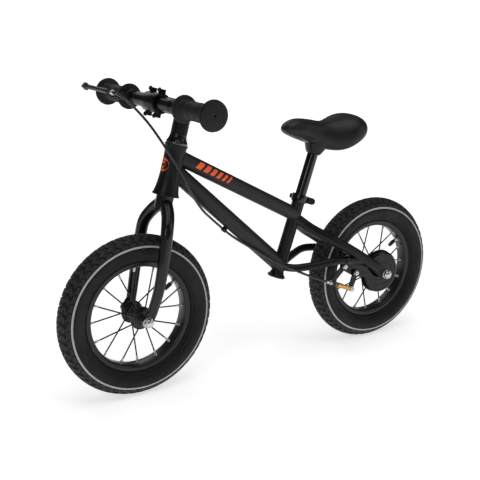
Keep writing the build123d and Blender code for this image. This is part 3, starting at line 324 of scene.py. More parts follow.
class Piece:
    """Closed shells gathered into one mesh."""

    def __init__(self, name):
        self.name = name
        self.verts, self.faces, self.finish = [], [], []

    def add(self, verts, faces, finish=0):
        base = len(self.verts)
        self.verts += [tuple(v) for v in verts]
        self.faces += [tuple(base + i for i in face) for face in faces]
        self.finish += [finish] * len(faces)

    def rings(self, rings, closed=False, finish=0):
        """Skin a run of equal rings of points, and cap its ends unless it closes on itself."""
        count = len(rings[0])
        verts = [point for ring in rings for point in ring]
        last = len(rings) if closed else len(rings) - 1
        faces = []
        for row in range(last):
            here, there = row * count, (row + 1) % len(rings) * count
            for i in range(count):
                j = (i + 1) % count
                faces.append((here + i, here + j, there + j, there + i))
        if not closed:
            faces.append(tuple(reversed(range(count))))
            faces.append(tuple(len(verts) - count + i for i in range(count)))
        self.add(verts, faces, finish)

    def lathe(self, origin, axis, profile, segments=48, closed=False, finish=0):
        """Turn rows of (along, radius[, flats, limit]) in mm.

        flats makes that row a polygon, its corners no further out than limit.
        """
        axis = axis.normalized()
        first, second = across_axis(axis)
        rings = []
        for row in profile:
            along, radius = row[0], row[1]
            flats = row[2] if len(row) > 2 else 0
            limit = row[3] if len(row) > 3 else math.inf
            ring = []
            for i in range(segments):
                angle = 2 * math.pi * i / segments
                reach = radius
                if flats:
                    side = 2 * math.pi / flats
                    reach = min(radius / math.cos(angle % side - side / 2), limit)
                out = first * math.cos(angle) + second * math.sin(angle)
                ring.append(origin + (axis * along + out * max(reach, LEAST_RADIUS)) * MM)
            rings.append(ring)
        self.rings(rings, closed=closed, finish=finish)

    def sweep(self, points, radius, segments=12, closed=False, up=None):
        """A tube along points, with up as its thick direction.

        radius is in mm, or a function of the share along that gives mm or (wide, thick).
        """
        count = len(points)
        rings = []
        tangent = (points[1] - points[0]).normalized()
        normal = across_axis(tangent)[0] if up is None else up
        for i, point in enumerate(points):
            before = points[i - 1] if i or closed else point
            after = points[(i + 1) % count] if i < count - 1 or closed else point
            tangent = (after - before).normalized()
            normal = (normal - tangent * normal.dot(tangent)).normalized()
            side = tangent.cross(normal)
            size = radius(i / (count - 1)) if callable(radius) else radius
            wide, thick = size if isinstance(size, tuple) else (size, size)
            ring = []
            for k in range(segments):
                a = 2 * math.pi * k / segments
                out = side * math.cos(a) * wide + normal * math.sin(a) * thick
                ring.append(point + out * MM)
            rings.append(ring)
        self.rings(rings, closed=closed)

    def make(self, body, slot, looks=None, replaces=(), bevel=0.0, sharp=32):
        mesh = bpy.data.meshes.new(self.name)
        mesh.from_pydata(self.verts, [], self.faces)
        mesh.polygons.foreach_set("material_index", self.finish)
        for look in looks or [surfaces[slot]]:
            mesh.materials.append(look)
        tidy_mesh(mesh, bevel, sharp)
        return place_piece(self.name, mesh, body, replaces)


SAME_POINT = 2e-6  # metres


def tidy_mesh(mesh, bevel=0.0, sharp=32, flatten=False):
    """Join doubled points, face the shells outward and round the sharp edges."""
    work = bmesh.new()
    work.from_mesh(mesh)
    bmesh.ops.remove_doubles(work, verts=work.verts, dist=SAME_POINT)
    bmesh.ops.dissolve_degenerate(work, edges=work.edges, dist=SAME_POINT / 2)
    if flatten:
        bmesh.ops.dissolve_limit(
            work, angle_limit=math.radians(1), verts=work.verts, edges=work.edges
        )
    bmesh.ops.recalc_face_normals(work, faces=work.faces)
    if bevel:
        keen = [
            e for e in work.edges
            if len(e.link_faces) == 2 and e.calc_face_angle() > math.radians(sharp)
        ]
        bmesh.ops.bevel(
            work, geom=keen, offset=bevel * MM, segments=2, profile=0.6,
            affect="EDGES", clamp_overlap=True,
        )
    work.to_mesh(mesh)
    work.free()
    mesh.shade_smooth()
    mesh.set_sharp_from_angle(angle=math.radians(sharp + 6))


def place_piece(name, mesh, body=None, replaces=()):
    piece = bpy.data.objects.new(name, mesh)
    bpy.context.scene.collection.objects.link(piece)
    if body:
        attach(piece, body)
    if replaces:
        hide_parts(*replaces)
    return piece


def turned(name, origin, axis, profile, body, slot, replaces=(), segments=48, **finish):
    """A piece that is one closed profile turned round an axis."""
    piece = Piece(name)
    piece.lathe(origin, axis, profile, segments=segments, closed=True)
    piece.make(body, slot, replaces=replaces, **finish)


def body_of(node):
    return nodes[node]["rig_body"]


def softened(node, bevel=0.4, look=None):
    """A copy of a CAD node with its edges rounded as pressed or machined metal has them."""
    mesh = bpy.data.meshes.new(node + "_finished")
    source = nodes[node].data
    mesh.from_pydata(
        [v.co[:] for v in source.vertices], [], [tuple(p.vertices) for p in source.polygons]
    )
    mesh.materials.append(look or surfaces[slot_of[node]])
    tidy_mesh(mesh, bevel, 30, flatten=True)
    return place_piece(node + "_finished", mesh, body_of(node), (node,))


def thread(start, pitch, count, even, odd):
    """Rows of a screw thread or a knurl, for a lathe."""
    return [(start + pitch * i, odd if i % 2 else even) for i in range(count)]


def smooth_route(points, resolution=10):
    """Points along the NURBS spline that a route's points control."""
    data = bpy.data.curves.new("route", "CURVE")
    data.dimensions = "3D"
    spline = data.splines.new("NURBS")
    spline.points.add(len(points) - 1)
    for place, point in zip(spline.points, points):
        place.co = (*point, 1)
    spline.order_u = 3
    spline.use_endpoint_u = True
    spline.resolution_u = resolution
    holder = bpy.data.objects.new("route", data)
    bpy.context.scene.collection.objects.link(holder)
    bpy.context.view_layer.update()
    mesh = bpy.data.meshes.new_from_object(holder)
    route = [v.co.copy() for v in mesh.vertices]
    bpy.data.objects.remove(holder)
    bpy.data.curves.remove(data)
    bpy.data.meshes.remove(mesh)
    return route


def solid_of(*names):
    """A search tree over CAD nodes, for laying beads and graphics on them."""
    verts, faces = [], []
    for name in names:
        data = nodes[name].data
        base = len(verts)
        verts += [v.co.copy() for v in data.vertices]
        faces += [tuple(base + i for i in p.vertices) for p in data.polygons]
    return BVHTree.FromPolygons(verts, faces)


def catmull(stations, count):
    """Smooth rows between table rows, whose first column runs from 0 to 1."""
    table = np.array(stations, float)
    at = table[:, 0]
    rows = []
    for share in np.linspace(0, 1, count):
        i = int(np.clip(np.searchsorted(at, share) - 1, 0, len(table) - 2))
        before, after = max(i - 1, 0), min(i + 2, len(table) - 1)
        span = at[i + 1] - at[i]
        t = (share - at[i]) / span
        low_slope = (table[i + 1] - table[before]) / (at[i + 1] - at[before])
        high_slope = (table[after] - table[i]) / (at[after] - at[i])
        row = (
            table[i] * (2 * t**3 - 3 * t**2 + 1)
            + low_slope * span * (t**3 - 2 * t**2 + t)
            + table[i + 1] * (3 * t**2 - 2 * t**3)
            + high_slope * span * (t**3 - t**2)
        )
        row[0] = share
        rows.append(row)
    return rows


# ---- Camera, lights and floor ----

CAMERA_PLACE = (0.929, 1.381, 0.736)
CAMERA_YAW, CAMERA_PITCH, CAMERA_ROLL = 57.60, 16.04, 0.25
SENSOR_WIDTH, LENS = 36.0, 65.03
FLOOR_HALF = 12.0
# The paper glows more with distance, so it fades to white round the shadow.
GLOW_FROM, GLOW_TO = (0.7, 3.0), (0.62, 1.0)
SEEN_WORLD, LIT_WORLD = 1.05, 0.10
# name, place, target, size, power
LIGHTS = (
    ("top", (0.1, 0.3, 2.6), (0, 0, 0.2), 2.4, 28),
    ("front_left", (2.4, 1.6, 1.7), (0.1, 0, 0.25), 1.2, 10),
    ("rear_left", (-2.2, 2.0, 1.6), (-0.1, 0, 0.25), 1.2, 9),
    ("behind", (-0.4, -2.6, 1.9), (0, 0, 0.3), 1.6, 9),
)


def make_camera(scene):
    camera = bpy.data.objects.new("camera", bpy.data.cameras.new("camera"))
    scene.collection.objects.link(camera)
    scene.camera = camera
    camera.data.sensor_width = SENSOR_WIDTH
    camera.data.lens = LENS
    yaw, pitch, roll = (math.radians(a) for a in (CAMERA_YAW, CAMERA_PITCH, CAMERA_ROLL))
    ahead = Vector(
        (-math.cos(yaw) * math.cos(pitch), -math.sin(yaw) * math.cos(pitch), -math.sin(pitch))
    )
    right = ahead.cross(Vector((0, 0, 1))).normalized()
    up = right.cross(ahead)
    turned_right = right * math.cos(roll) + up * math.sin(roll)
    turned_up = up * math.cos(roll) - right * math.sin(roll)
    facing = Matrix((turned_right, turned_up, -ahead)).transposed().to_4x4()
    camera.matrix_world = Matrix.Translation(CAMERA_PLACE) @ facing


def make_floor(scene):
    mesh = bpy.data.meshes.new("floor")
    half = FLOOR_HALF
    corners = [(-half, -half, 0), (half, -half, 0), (half, half, 0), (-half, half, 0)]
    mesh.from_pydata(corners, [], [(0, 1, 2, 3)])
    floor = bpy.data.objects.new("floor", mesh)
    scene.collection.objects.link(floor)
    paper = bpy.data.materials.new("floor_paper")
    paper.use_nodes = True
    tree = paper.node_tree
    make, link = tree.nodes.new, tree.links.new
    shader = tree.nodes["Principled BSDF"]
    shader.inputs["Base Color"].default_value = (0.9, 0.9, 0.9, 1)
    shader.inputs["Roughness"].default_value = 0.7
    shader.inputs["Emission Color"].default_value = (1, 1, 1, 1)
    reach = make("ShaderNodeVectorMath")
    reach.operation = "LENGTH"
    link(make("ShaderNodeTexCoord").outputs["Object"], reach.inputs[0])
    glow = ranged(tree, reach.outputs["Value"], GLOW_FROM, GLOW_TO)
    link(glow, shader.inputs["Emission Strength"])
    grain = make("ShaderNodeTexNoise")
    grain.inputs["Scale"].default_value = 400.0
    bump = make("ShaderNodeBump")
    bump.inputs["Strength"].default_value = 0.02
    link(grain.outputs["Fac"], bump.inputs["Height"])
    link(bump.outputs["Normal"], shader.inputs["Normal"])
    mesh.materials.append(paper)


def make_world(scene):
    """White behind the floor, and a much dimmer glow as light on the bike."""
    world = bpy.data.worlds.new("world")
    scene.world = world
    world.use_nodes = True
    make, link = world.node_tree.nodes.new, world.node_tree.links.new
    world.node_tree.nodes.clear()
    blend = make("ShaderNodeMixShader")
    link(make("ShaderNodeLightPath").outputs["Is Camera Ray"], blend.inputs["Fac"])
    for socket, strength in ((1, LIT_WORLD), (2, SEEN_WORLD)):
        background = make("ShaderNodeBackground")
        background.inputs["Color"].default_value = (1, 1, 1, 1)
        background.inputs["Strength"].default_value = strength
        link(background.outputs["Background"], blend.inputs[socket])
    link(blend.outputs["Shader"], make("ShaderNodeOutputWorld").inputs["Surface"])


def make_lights(scene):
    for name, place, target, size, power in LIGHTS:
        lamp = bpy.data.lights.new(name, "AREA")
        lamp.shape = "SQUARE"
        lamp.size = size
        lamp.energy = power
        holder = bpy.data.objects.new(name, lamp)
        holder.location = place
        holder.rotation_mode = "QUATERNION"
        holder.rotation_quaternion = (Vector(target) - Vector(place)).to_track_quat("-Z", "Y")
        scene.collection.objects.link(holder)


def make_stage():
    scene = bpy.context.scene
    scene.view_settings.view_transform = "Standard"
    for make in (make_camera, make_floor, make_world, make_lights):
        make(scene)


# ---- Wheels ----

SECTION, CENTRE_RADIUS = 26.0, 129.0
PITCHES = 54
TREAD_DEPTH = 1.9
BLOCK_ROOT = 0.5  # how far a tread block stands in the carcass
FOOT_SPREAD, FOOT_LEAN = 0.22, 0.9  # degrees a block's foot is wider than its top
TREAD_EDGE, WALL_EDGE = 60, 64  # degrees from the crown
# degrees from the crown, depth, width in degrees
WALL_GROOVES = (
    (66.0, 1.0, 0.35), (78.5, 1.2, 0.5), (116.0, 1.6, 0.9), (124.0, 1.6, 0.9), (133.0, 2.0, 1.1)
)
CARCASS_REACH, CARCASS_STEPS = 151.2, 150
# (along the axle, radius) of the left bead, from the wall to the tube's side
BEAD = ((12.4, 103.5), (12.0, 101.7), (9.2, 101.7), (8.8, 104.0), (8.8, 110.0))
# Each block is rows of (degrees from the crown, low theta, high theta).
CROWN_BLOCK = ((1.5, 0.2, 2.5), (7, 0.9, 3.0), (12.5, 0.6, 2.5))
SIDE_BLOCKS = (
    ((15, 0.3, 3.6), (21, 1.1, 4.6), (27, 2.3, 5.8)),
    ((29.5, 1.6, 4.9), (35, 0.3, 4.1), (40.5, -0.4, 3.0)),
    ((43, 0.2, 2.4), (49, 1.6, 4.0), (56, 2.6, 5.6), (63, 2.2, 5.9)),
    ((51, -1.4, 0.2), (57, -0.6, 1.2), (62, -0.6, 1.0)),
)
LINE_FROM, LINE_WIDTH, LINE_STEPS = 68.0, 7.8, 8  # degrees
LINE_PROUD, LINE_DEPTH = 0.16, 0.8


def on_tyre(hub, theta, phi, radius):
    """A point round the wheel at theta and round its section at phi from the crown, in degrees."""
    around, over = math.radians(theta), math.radians(phi)
    out = CENTRE_RADIUS + radius * math.cos(over)
    return hub + Vector(
        (out * math.cos(around), radius * math.sin(over), out * math.sin(around))
    ) * MM


def wall_radius(phi):
    """The carcass's section radius: low under the tread, grooved near the rim."""
    phi = abs(phi)
    if phi < TREAD_EDGE:
        return SECTION - TREAD_DEPTH
    if phi < WALL_EDGE:
        return SECTION - TREAD_DEPTH * (WALL_EDGE - phi) / (WALL_EDGE - TREAD_EDGE)
    return SECTION - sum(
        depth * math.exp(-(((phi - at) / wide) ** 2)) for at, wide, depth in WALL_GROOVES
    )


def section_row(phi, radius):
    """A lathe row at phi degrees from the crown, radius from the section's centre."""
    over = math.radians(phi)
    return radius * math.sin(over), CENTRE_RADIUS + radius * math.cos(over)


def mirrored(rows):
    """The same profile on the other side of the wheel's middle, run backwards."""
    return [(-along, *rest) for along, *rest in reversed(rows)]


def tread_block(tyre, hub, rows):
    """A tapered rubber block over rows of (phi, low theta, high theta)."""
    tops = [on_tyre(hub, t, p, SECTION) for p, low, high in rows for t in (low, high)]
    lean = FOOT_LEAN if rows[-1][0] > rows[0][0] else -FOOT_LEAN
    feet = []
    for i, (p, low, high) in enumerate(rows):
        out = p + (-lean if i == 0 else lean if i == len(rows) - 1 else 0)
        for t in (low - FOOT_SPREAD, high + FOOT_SPREAD):
            feet.append(on_tyre(hub, t, out, SECTION - TREAD_DEPTH - BLOCK_ROOT))
    count = len(tops)
    faces = []
    for k in range(0, count - 2, 2):
        faces.append((k, k + 1, k + 3, k + 2))
        faces.append((count + k + 2, count + k + 3, count + k + 1, count + k))
        faces.append((k, k + 2, count + k + 2, count + k))
        faces.append((k + 3, k + 1, count + k + 1, count + k + 3))
    faces.append((1, 0, count, count + 1))
    faces.append((count - 2, count - 1, 2 * count - 1, 2 * count - 2))
    tyre.add(tops + feet, faces)


def make_tyre(end, hub):
    body = end + "_wheel"
    tyre = Piece(end + "_tyre_rubber")
    step = 2 * CARCASS_REACH / CARCASS_STEPS
    spread = [-CARCASS_REACH + step * i for i in range(CARCASS_STEPS + 1)]
    section = [section_row(phi, wall_radius(phi)) for phi in spread]
    section += [*BEAD, *mirrored(BEAD)]
    tyre.lathe(hub, Y_AXIS, section, segments=PITCHES * 4, closed=True)
    pitch = 360 / PITCHES
    for index in range(PITCHES):
        for side, slip in ((LEFT, 0), (RIGHT, pitch / 2)):
            start = index * pitch + slip
            shapes = [(CROWN_BLOCK, start), (CROWN_BLOCK, start + pitch / 2)]
            shapes += [(block, start) for block in SIDE_BLOCKS]
            for block, at in shapes:
                rows = [(side * phi, at + low, at + high) for phi, low, high in block]
                tread_block(tyre, hub, rows)
    tyre.make(body, "tyre", replaces=(end + "_tyre",), sharp=40)

    line = Piece(end + "_tyre_line")
    for side in (LEFT, RIGHT):
        band = [side * (LINE_FROM + LINE_WIDTH * i / LINE_STEPS) for i in range(LINE_STEPS + 1)]
        edges = (band[0], band[-1])
        rows = [section_row(phi, SECTION + (0 if phi in edges else LINE_PROUD)) for phi in band]
        rows += [section_row(phi, SECTION - LINE_DEPTH) for phi in reversed(band)]
        line.lathe(hub, Y_AXIS, rows, segments=192, closed=True)
    line.make(body, "tyre", looks=[reflective])


# (along the axle, radius) of the left half of the rim, outside then inside
RIM_OUTSIDE = (
    (12.7, 105.2), (13.0, 106.1), (13.8, 106.5), (14.6, 106.1), (14.9, 105.0), (14.6, 103.2),
    (14.4, 99.4), (13.8, 98.2), (12.2, 96.4), (10.6, 95.8), (0.0, 95.6),
)
RIM_INSIDE = ((0.0, 99.6), (11.8, 100.0), (12.6, 101.3))
HUB_HALF = (
    (6.0, 15.4), (16.0, 15.0), (17.2, 16.2), (17.9, 20.8), (18.3, 21.8), (19.4, 22.2),
    (20.5, 21.8), (21.0, 20.6), (21.3, 17.0), (22.0, 15.8), (22.2, 12.2), (21.6, 11.2),
    (21.2, 6.2), (19.0, 6.0),
)
HUB_MIDDLE = ((-4.5, 13.6), (0.0, 13.2), (4.5, 13.6))
SPOKES, SPOKE_RADIUS = 16, 1.4
# (out from the axle, along it) of a spoke's hole, bend and end
SPOKE_HOLE, SPOKE_BEND, SPOKE_END = (19.0, 19.5), (22.4, 21.3), (95.2, 2.0)
SPOKE_HEAD = ((0, 0.4), (0.1, 1.4), (0.7, 1.9), (1.3, 1.8), (1.5, 1.0))
NIPPLE = (
    (0, 1.3), (0.3, 1.8), (1.2, 2.0), (6.6, 2.0), (7.0, 1.8, 4, 2.5), (12.0, 1.8, 4, 2.5),
    (12.3, 2.8), (13.4, 3.0), (13.9, 2.4),
)
VALVE_ANGLE, VALVE_SEAT = 146.25, 95.8
VALVE_NUT = ((0, 0.5), (0, 5.6, 6, 6.1), (2.6, 5.6, 6, 6.1), (2.9, 3.6), (3.0, 0.5))
VALVE_STEM = ((2.8, 0.5), *thread(2.9, 0.35, 18, 3.55, 3.25), (9.4, 0.5))
VALVE_CAP = (
    (9.0, 0.5), (9.0, 4.1), *thread(9.4, 0.6, 16, 4.05, 4.35),
    (19.4, 3.8), (22.6, 3.3), (24.2, 2.4), (24.4, 0.5),
)


def make_spokes(end, hub, body):
    wires = Piece(end + "_spokes_finished")
    for index in range(SPOKES):
        angle = math.radians(360 / SPOKES * index)
        outward = Y_AXIS * (LEFT if index % 2 else RIGHT)
        out = Vector((math.cos(angle), 0, math.sin(angle)))
        hole, bend, stop = (
            hub + (out * reach + outward * along) * MM
            for reach, along in (SPOKE_HOLE, SPOKE_BEND, SPOKE_END)
        )
        run = (stop - bend).normalized()
        path = [hole - outward * 2.6 * MM, hole + outward * 1.2 * MM,
                hole + (outward * 1.9 + out * 0.8) * MM, bend, stop - run * 11 * MM]
        wires.sweep(path, SPOKE_RADIUS, segments=10)
        wires.lathe(hole - outward * 3.4 * MM, outward, SPOKE_HEAD, segments=12)
        wires.lathe(stop - run * 12.4 * MM, run, NIPPLE, segments=16, finish=1)
    wires.make(body, "steel", looks=[spoke_black, nipple_plate], replaces=(end + "_spokes",))


def make_wheel(end, hub):
    body = end + "_wheel"
    make_tyre(end, hub)
    section = [*RIM_OUTSIDE, *mirrored(RIM_OUTSIDE[:-1]), *mirrored(RIM_INSIDE[1:]), *RIM_INSIDE]
    turned(end + "_rim_finished", hub, Y_AXIS, section, body, "rim_paint", (end + "_rim",),
           segments=128, bevel=0.25, sharp=40)
    make_spokes(end, hub, body)
    section = [*mirrored(HUB_HALF), *HUB_MIDDLE, *HUB_HALF]
    turned(end + "_hub_finished", hub, Y_AXIS, section, body, "rim_paint", (end + "_hub",),
           segments=64, bevel=0.2, sharp=40)

    valve_at = math.radians(VALVE_ANGLE)
    inward = Vector((-math.cos(valve_at), 0, -math.sin(valve_at)))
    valve = Piece(end + "_valve")
    seat = hub - inward * VALVE_SEAT * MM
    for profile, finish in ((VALVE_NUT, 0), (VALVE_STEM, 0), (VALVE_CAP, 1)):
        valve.lathe(seat, inward, profile, segments=24, finish=finish)
    valve.make(body, "chrome", looks=[surfaces["chrome"], surfaces["black_plastic"]])


FRONT_FACE, REAR_FACE = 47.05, 60.05  # from the wheel's middle to each dropout's outside
CONE_INNER = 21.6  # from the wheel's middle to each cone
DROPOUT = 5.05  # the dropout's thickness and its clearance


def make_axle(end, hub, body, face):
    """Threaded ends, cones, locknuts, washers and capped nuts; face is each dropout's outside."""
    axle = Piece(end + "_axle_finished")
    nuts = Piece(end + "_axle_nuts_finished")
    gap = face - DROPOUT
    threads = thread(20, 0.5, int((face - 18) * 2), 4.8, 4.55)
    rod = [(-1, 0.5), (-1, 4.7), *threads, (face + 2, 4.6), (face + 2, 0.5)]
    cone = [(CONE_INNER, 5.2), (CONE_INNER + 0.4, 6.6), (gap - 7.0, 6.9), (gap - 6.8, 5.2)]
    locknut = [
        (gap - 6.5, 5.0), (gap - 6.5, 7.5, 6, 8.3), (gap - 6.2, 7.7, 6, 8.7),
        (gap - 1.2, 7.7, 6, 8.7), (gap - 0.9, 7.5, 6, 8.3), (gap - 0.9, 8.9),
        (gap - 0.05, 8.9), (gap - 0.05, 5.0),
    ]
    capped = [
        (face, 0.5), (face, 9.9), (face + 0.4, 10.3), (face + 1.4, 10.1), (face + 1.7, 8.9),
        (face + 1.8, 8.3, 6, 9.4), (face + 2.2, 8.4, 6, 9.8), (face + 6.6, 8.4, 6, 9.8),
        (face + 7.2, 8.2, 6, 9.0), (face + 7.4, 7.3), (face + 8.6, 6.9), (face + 9.6, 5.9),
        (face + 10.4, 4.2), (face + 10.8, 2.2), (face + 10.9, 0.3),
    ]
    for side in (LEFT, RIGHT):
        axle.lathe(hub, Y_AXIS * side, rod, segments=32)
        axle.lathe(hub, Y_AXIS * side, cone, segments=32)
        axle.lathe(hub, Y_AXIS * side, locknut, segments=48)
        nuts.lathe(hub, Y_AXIS * side, capped, segments=48)
    axle.make(body, "steel", replaces=(end + "_axle",), sharp=28)
    nuts.make(body, "chrome", replaces=(end + "_axle_nuts",), bevel=0.12, sharp=26)


def socket_bolt(piece, at, axis, head, height, stem=0.0):
    """A domed button-head bolt with a hexagon socket, its underside at a point."""
    shank, socket = head * 0.5, head * 0.40
    piece.lathe(at, axis, [
        (-stem, 0.4), (-stem, shank), (0, shank), (0, head * 0.96), (0.3, head),
        (height * 0.45, head * 0.99), (height * 0.8, head * 0.84), (height, head * 0.62),
        (height, socket, 6), (height * 0.35, socket, 6), (height * 0.3, 0.3),
    ], segments=36)


def hex_head(piece, at, axis, flats, height, washer=0.0):
    """A chamfered hexagon nut or bolt head on an optional washer."""
    rows = [(0, 0.4)]
    if washer:
        rows += [(0, washer - 0.2), (0.2, washer), (1.0, washer), (1.2, washer - 0.3)]
    base = 1.2 if washer else 0.0
    corner = flats / math.cos(math.pi / 6)
    rows += [(base, flats, 6, corner * 0.98), (base + height * 0.75, flats, 6, corner),
             (base + height, flats, 6, flats * 1.04), (base + height, flats * 0.42),
             (base + height + 1.0, flats * 0.40), (base + height + 1.3, flats * 0.3),
             (base + height + 1.3, 0.3)]
    piece.lathe(at, axis, rows, segments=36)


# ---- Front end ----


GRIP_FLANGE = (
    (202.15, 0.3), (202.15, 11.3), (104.0, 11.3), (104.0, 22.6), (104.5, 23.6), (105.5, 24.0),
    (107.6, 23.8), (108.8, 22.8), (109.6, 19.5), (110.6, 17.2), (112.0, 16.0),
)
GRIP_RIBS, RIB_START, RIB_PITCH = 30, 114.0, 2.7
GRIP_END = (
    (195.6, 15.2), (197.0, 16.6), (198.2, 20.0), (199.0, 23.9), (199.8, 25.6), (201.0, 26.2),
    (202.4, 25.9), (202.8, 25.0), (203.0, 22.8), (203.9, 22.8), (204.1, 24.8), (204.9, 25.3),
    (205.8, 24.6), (206.5, 21.6), (207.2, 16.0), (207.8, 9.0), (208.1, 2.6), (207.0, 1.8),
    (204.6, 1.5), (204.6, 0.3),
)


def make_grip(side, name):
    grip = Piece(name + "_rubber")
    rows = [*GRIP_FLANGE]
    for i in range(GRIP_RIBS):
        at = RIB_START + i * RIB_PITCH
        swell = 0.9 * math.sin(math.pi * (i + 0.5) / GRIP_RIBS)
        swell += 0.35 * math.sin(2 * math.pi * i / 7.5)
        rows += [(at, 14.6 + swell), (at + 0.35, 15.15 + swell), (at + 1.75, 15.15 + swell),
                 (at + 2.1, 14.6 + swell)]
    grip.lathe(bar_centre, Y_AXIS * side, rows + [*GRIP_END], segments=72)
    grip.make("steering", "rubber_grip", replaces=(name,), sharp=34)


# (forward of the bar, along it) of the lever blade's spine
LEVER_SPINE = (
    (40.0, -114), (41.5, -126), (43.0, -142), (44.6, -160), (46.4, -178), (48.0, -192), (48.8, -199)
)
LEVER_TIP = (
    (0, 0.3), (0, 4.6, 4, 5.8), (0.9, 5.6, 4, 7.4), (12, 5.8, 4, 7.6), (13, 4.8, 4, 6.0), (13, 0.3)
)


def blade_girth(share):
    if share > 0.9:
        return (5.2, 4.6)
    return (6.6 - 1.5 * share, 4.4 + 0.2 * share)


def make_lever():
    blade = Piece("brake_lever_blade")
    spine = [on_lever(*place) for place in LEVER_SPINE]
    blade.sweep(smooth_route(spine, 8), blade_girth, segments=20, up=lever_up)
    blade.lathe(spine[-1] + Y_AXIS * 6 * MM, -Y_AXIS, LEVER_TIP, segments=32)
    blade.make("brake_lever", "black_plastic", sharp=40)
    softened("brake_lever", 1.0)


LEVER_PIVOT, LEVER_SCREW, BRACKET_HALF = (34, -108), (20, -94), 5.85
STEM_HEIGHT, STEM_REACH = 390, 60
CLAMP_BOLT_RISE = 12.7 + 5.5 + 4.7  # bar radius, clamp wall, half a bolt ear
CLAMP_BOLT_SIDE = 17
TOP_CAP = (
    (0, 0.4), (0, 13.2), (0.5, 13.7), (2.4, 13.5), (3.6, 12.4), (4.0, 10.6), (3.4, 8.2),
    (3.0, 7.4), (2.9, 0.4),
)
LEVER_BARREL = (
    (-6, 0.9), (-6, 3.4), *thread(-5.6, 0.4, 13, 3.6, 3.2), (0.1, 4.6, 12), (0.3, 4.9, 12),
    (2.7, 4.9, 12), (3.0, 4.6, 12), (3.0, 3.6), (3.3, 4.5, 10), (7.2, 4.5, 10), (7.6, 4.0),
    (7.9, 3.3), (8.0, 0.9),
)


def make_front_end():
    make_grip(LEFT, "grip_left")
    make_grip(RIGHT, "grip_right")
    make_lever()
    softened("brake_lever_bracket", 0.8)
    softened("headset_cover", 0.3)
    softened("compression_ring", 0.4, ring_steel)
    for node in ("stem", "stem_clamp_cap"):
        softened(node, 0.8, bar_black)
    bolts = Piece("stem_bolts_finished")
    for rise in (-CLAMP_BOLT_RISE, CLAMP_BOLT_RISE):
        for side in (-CLAMP_BOLT_SIDE, CLAMP_BOLT_SIDE):
            head = on_steerer(STEM_HEIGHT + rise, STEM_REACH + 4.55, side)
            socket_bolt(bolts, head, steer_forward, 4.3, 4.2, 9)
    cap = on_steerer(406.05)
    bolts.lathe(cap, steer_up, TOP_CAP, segments=48)
    socket_bolt(bolts, cap + steer_up * 2.9 * MM, steer_up, 5.0, 3.0, 6)
    bolts.make("steering", "black_bolts", replaces=("stem_bolts",), bevel=0.12, sharp=30)

    pins = Piece("lever_bolts_finished")
    socket_bolt(pins, on_lever(*LEVER_PIVOT, BRACKET_HALF), lever_up, 4.6, 2.4, 11)
    hex_head(pins, on_lever(*LEVER_PIVOT, -BRACKET_HALF), -lever_up, 3.6, 2.4)
    socket_bolt(pins, on_lever(*LEVER_SCREW, -BRACKET_HALF), -lever_up, 4.2, 4.0, 9)
    pins.make("steering", "black_bolts", replaces=("lever_bolts",), bevel=0.1, sharp=30)

    turned("lever_barrel_finished", on_lever(45, -87.5), Y_AXIS, LEVER_BARREL, "steering",
           "chrome", ("lever_cable_barrel",), segments=60, sharp=28)


# ---- Frame: beads, graphics, clamp, cable ----

TOP_FRONT, TOP_REAR = on_steerer(305), on_seat_tube(132)
DOWN_FRONT, DOWN_REAR = on_steerer(280), on_seat_tube(24.5)
TOP_BEAD, DOWN_BEAD = 14.4, 16.0  # each bead's reach from its tube's centre
BEAD_RADIUS, BEAD_RIPPLE, BEAD_RIPPLES = 1.55, 0.3, 26
INK_HEIGHT, INK_ROOT = 0.12, 0.1  # above and below the paint
INK_REACH = 60  # where the rays that lay a graphic start
STRIPE_CENTRE, STRIPE_START, STRIPE_TILT = 89, -42.0, 12
STRIPE_HALF, STRIPE_SLANT, STRIPE_GAP = 7.0, 7.0, 6
STRIPES = (12, 10.5, 9, 7.5, 6, 4.5)
STRIPE_ROWS, STRIPE_COLUMNS = 8, 6
BADGE_HEIGHT, BADGE_RADIUS, BADGE_RING, BADGE_DOT = 285, 13.0, (8.6, 6.8), 2.4


def weld(name, start, toward, radius, target):
    """A rippled bead where a round tube meets a neighbour."""
    tree = solid_of(target)
    run = (toward - start).normalized()
    first, second = across_axis(run)
    ring = []
    for i in range(120):
        angle = 2 * math.pi * i / 120
        out = (first * math.cos(angle) + second * math.sin(angle)) * radius * MM
        hit = tree.ray_cast(start + out, run)[0]
        if hit:
            ring.append(hit)
    bead = Piece(name)
    bead.sweep(
        ring,
        lambda share: BEAD_RADIUS + BEAD_RIPPLE * math.cos(share * 2 * math.pi * BEAD_RIPPLES),
        segments=8, closed=True,
    )
    bead.make("frame", "frame_paint", sharp=60)


def decal(name, tree, spots, seat, outward, rise, looks):
    """Thin closed patches laid on a surface. spots are (grid, look, lift) in mm round the seat."""
    side = rise.cross(outward).normalized()
    patch = Piece(name)
    for grid, look, lift in spots:
        rows, columns = len(grid), len(grid[0])
        top, under = [], []
        for a, b in (spot for row in grid for spot in row):
            start = seat + (side * a + rise * b + outward * INK_REACH) * MM
            hit, normal, _, _ = tree.ray_cast(start, -outward)
            top.append(hit + normal * (INK_HEIGHT + lift) * MM)
            under.append(hit - normal * INK_ROOT * MM)
        count = len(top)
        faces = []
        for r in range(rows - 1):
            for k in range(r * columns, (r + 1) * columns - 1):
                quad = (k, k + 1, k + columns + 1, k + columns)
                faces.append(quad)
                faces.append(tuple(count + i for i in reversed(quad)))
        edge = [*range(columns), *(r * columns + columns - 1 for r in range(1, rows))]
        edge += [(rows - 1) * columns + c for c in range(columns - 2, -1, -1)]
        edge += [r * columns for r in range(rows - 2, 0, -1)]
        for a, b in zip(edge, edge[1:] + edge[:1]):
            faces.append((b, a, count + a, count + b))
        patch.add(top + under, faces, look)
    patch.make("frame", "frame_paint", looks=looks, sharp=50)


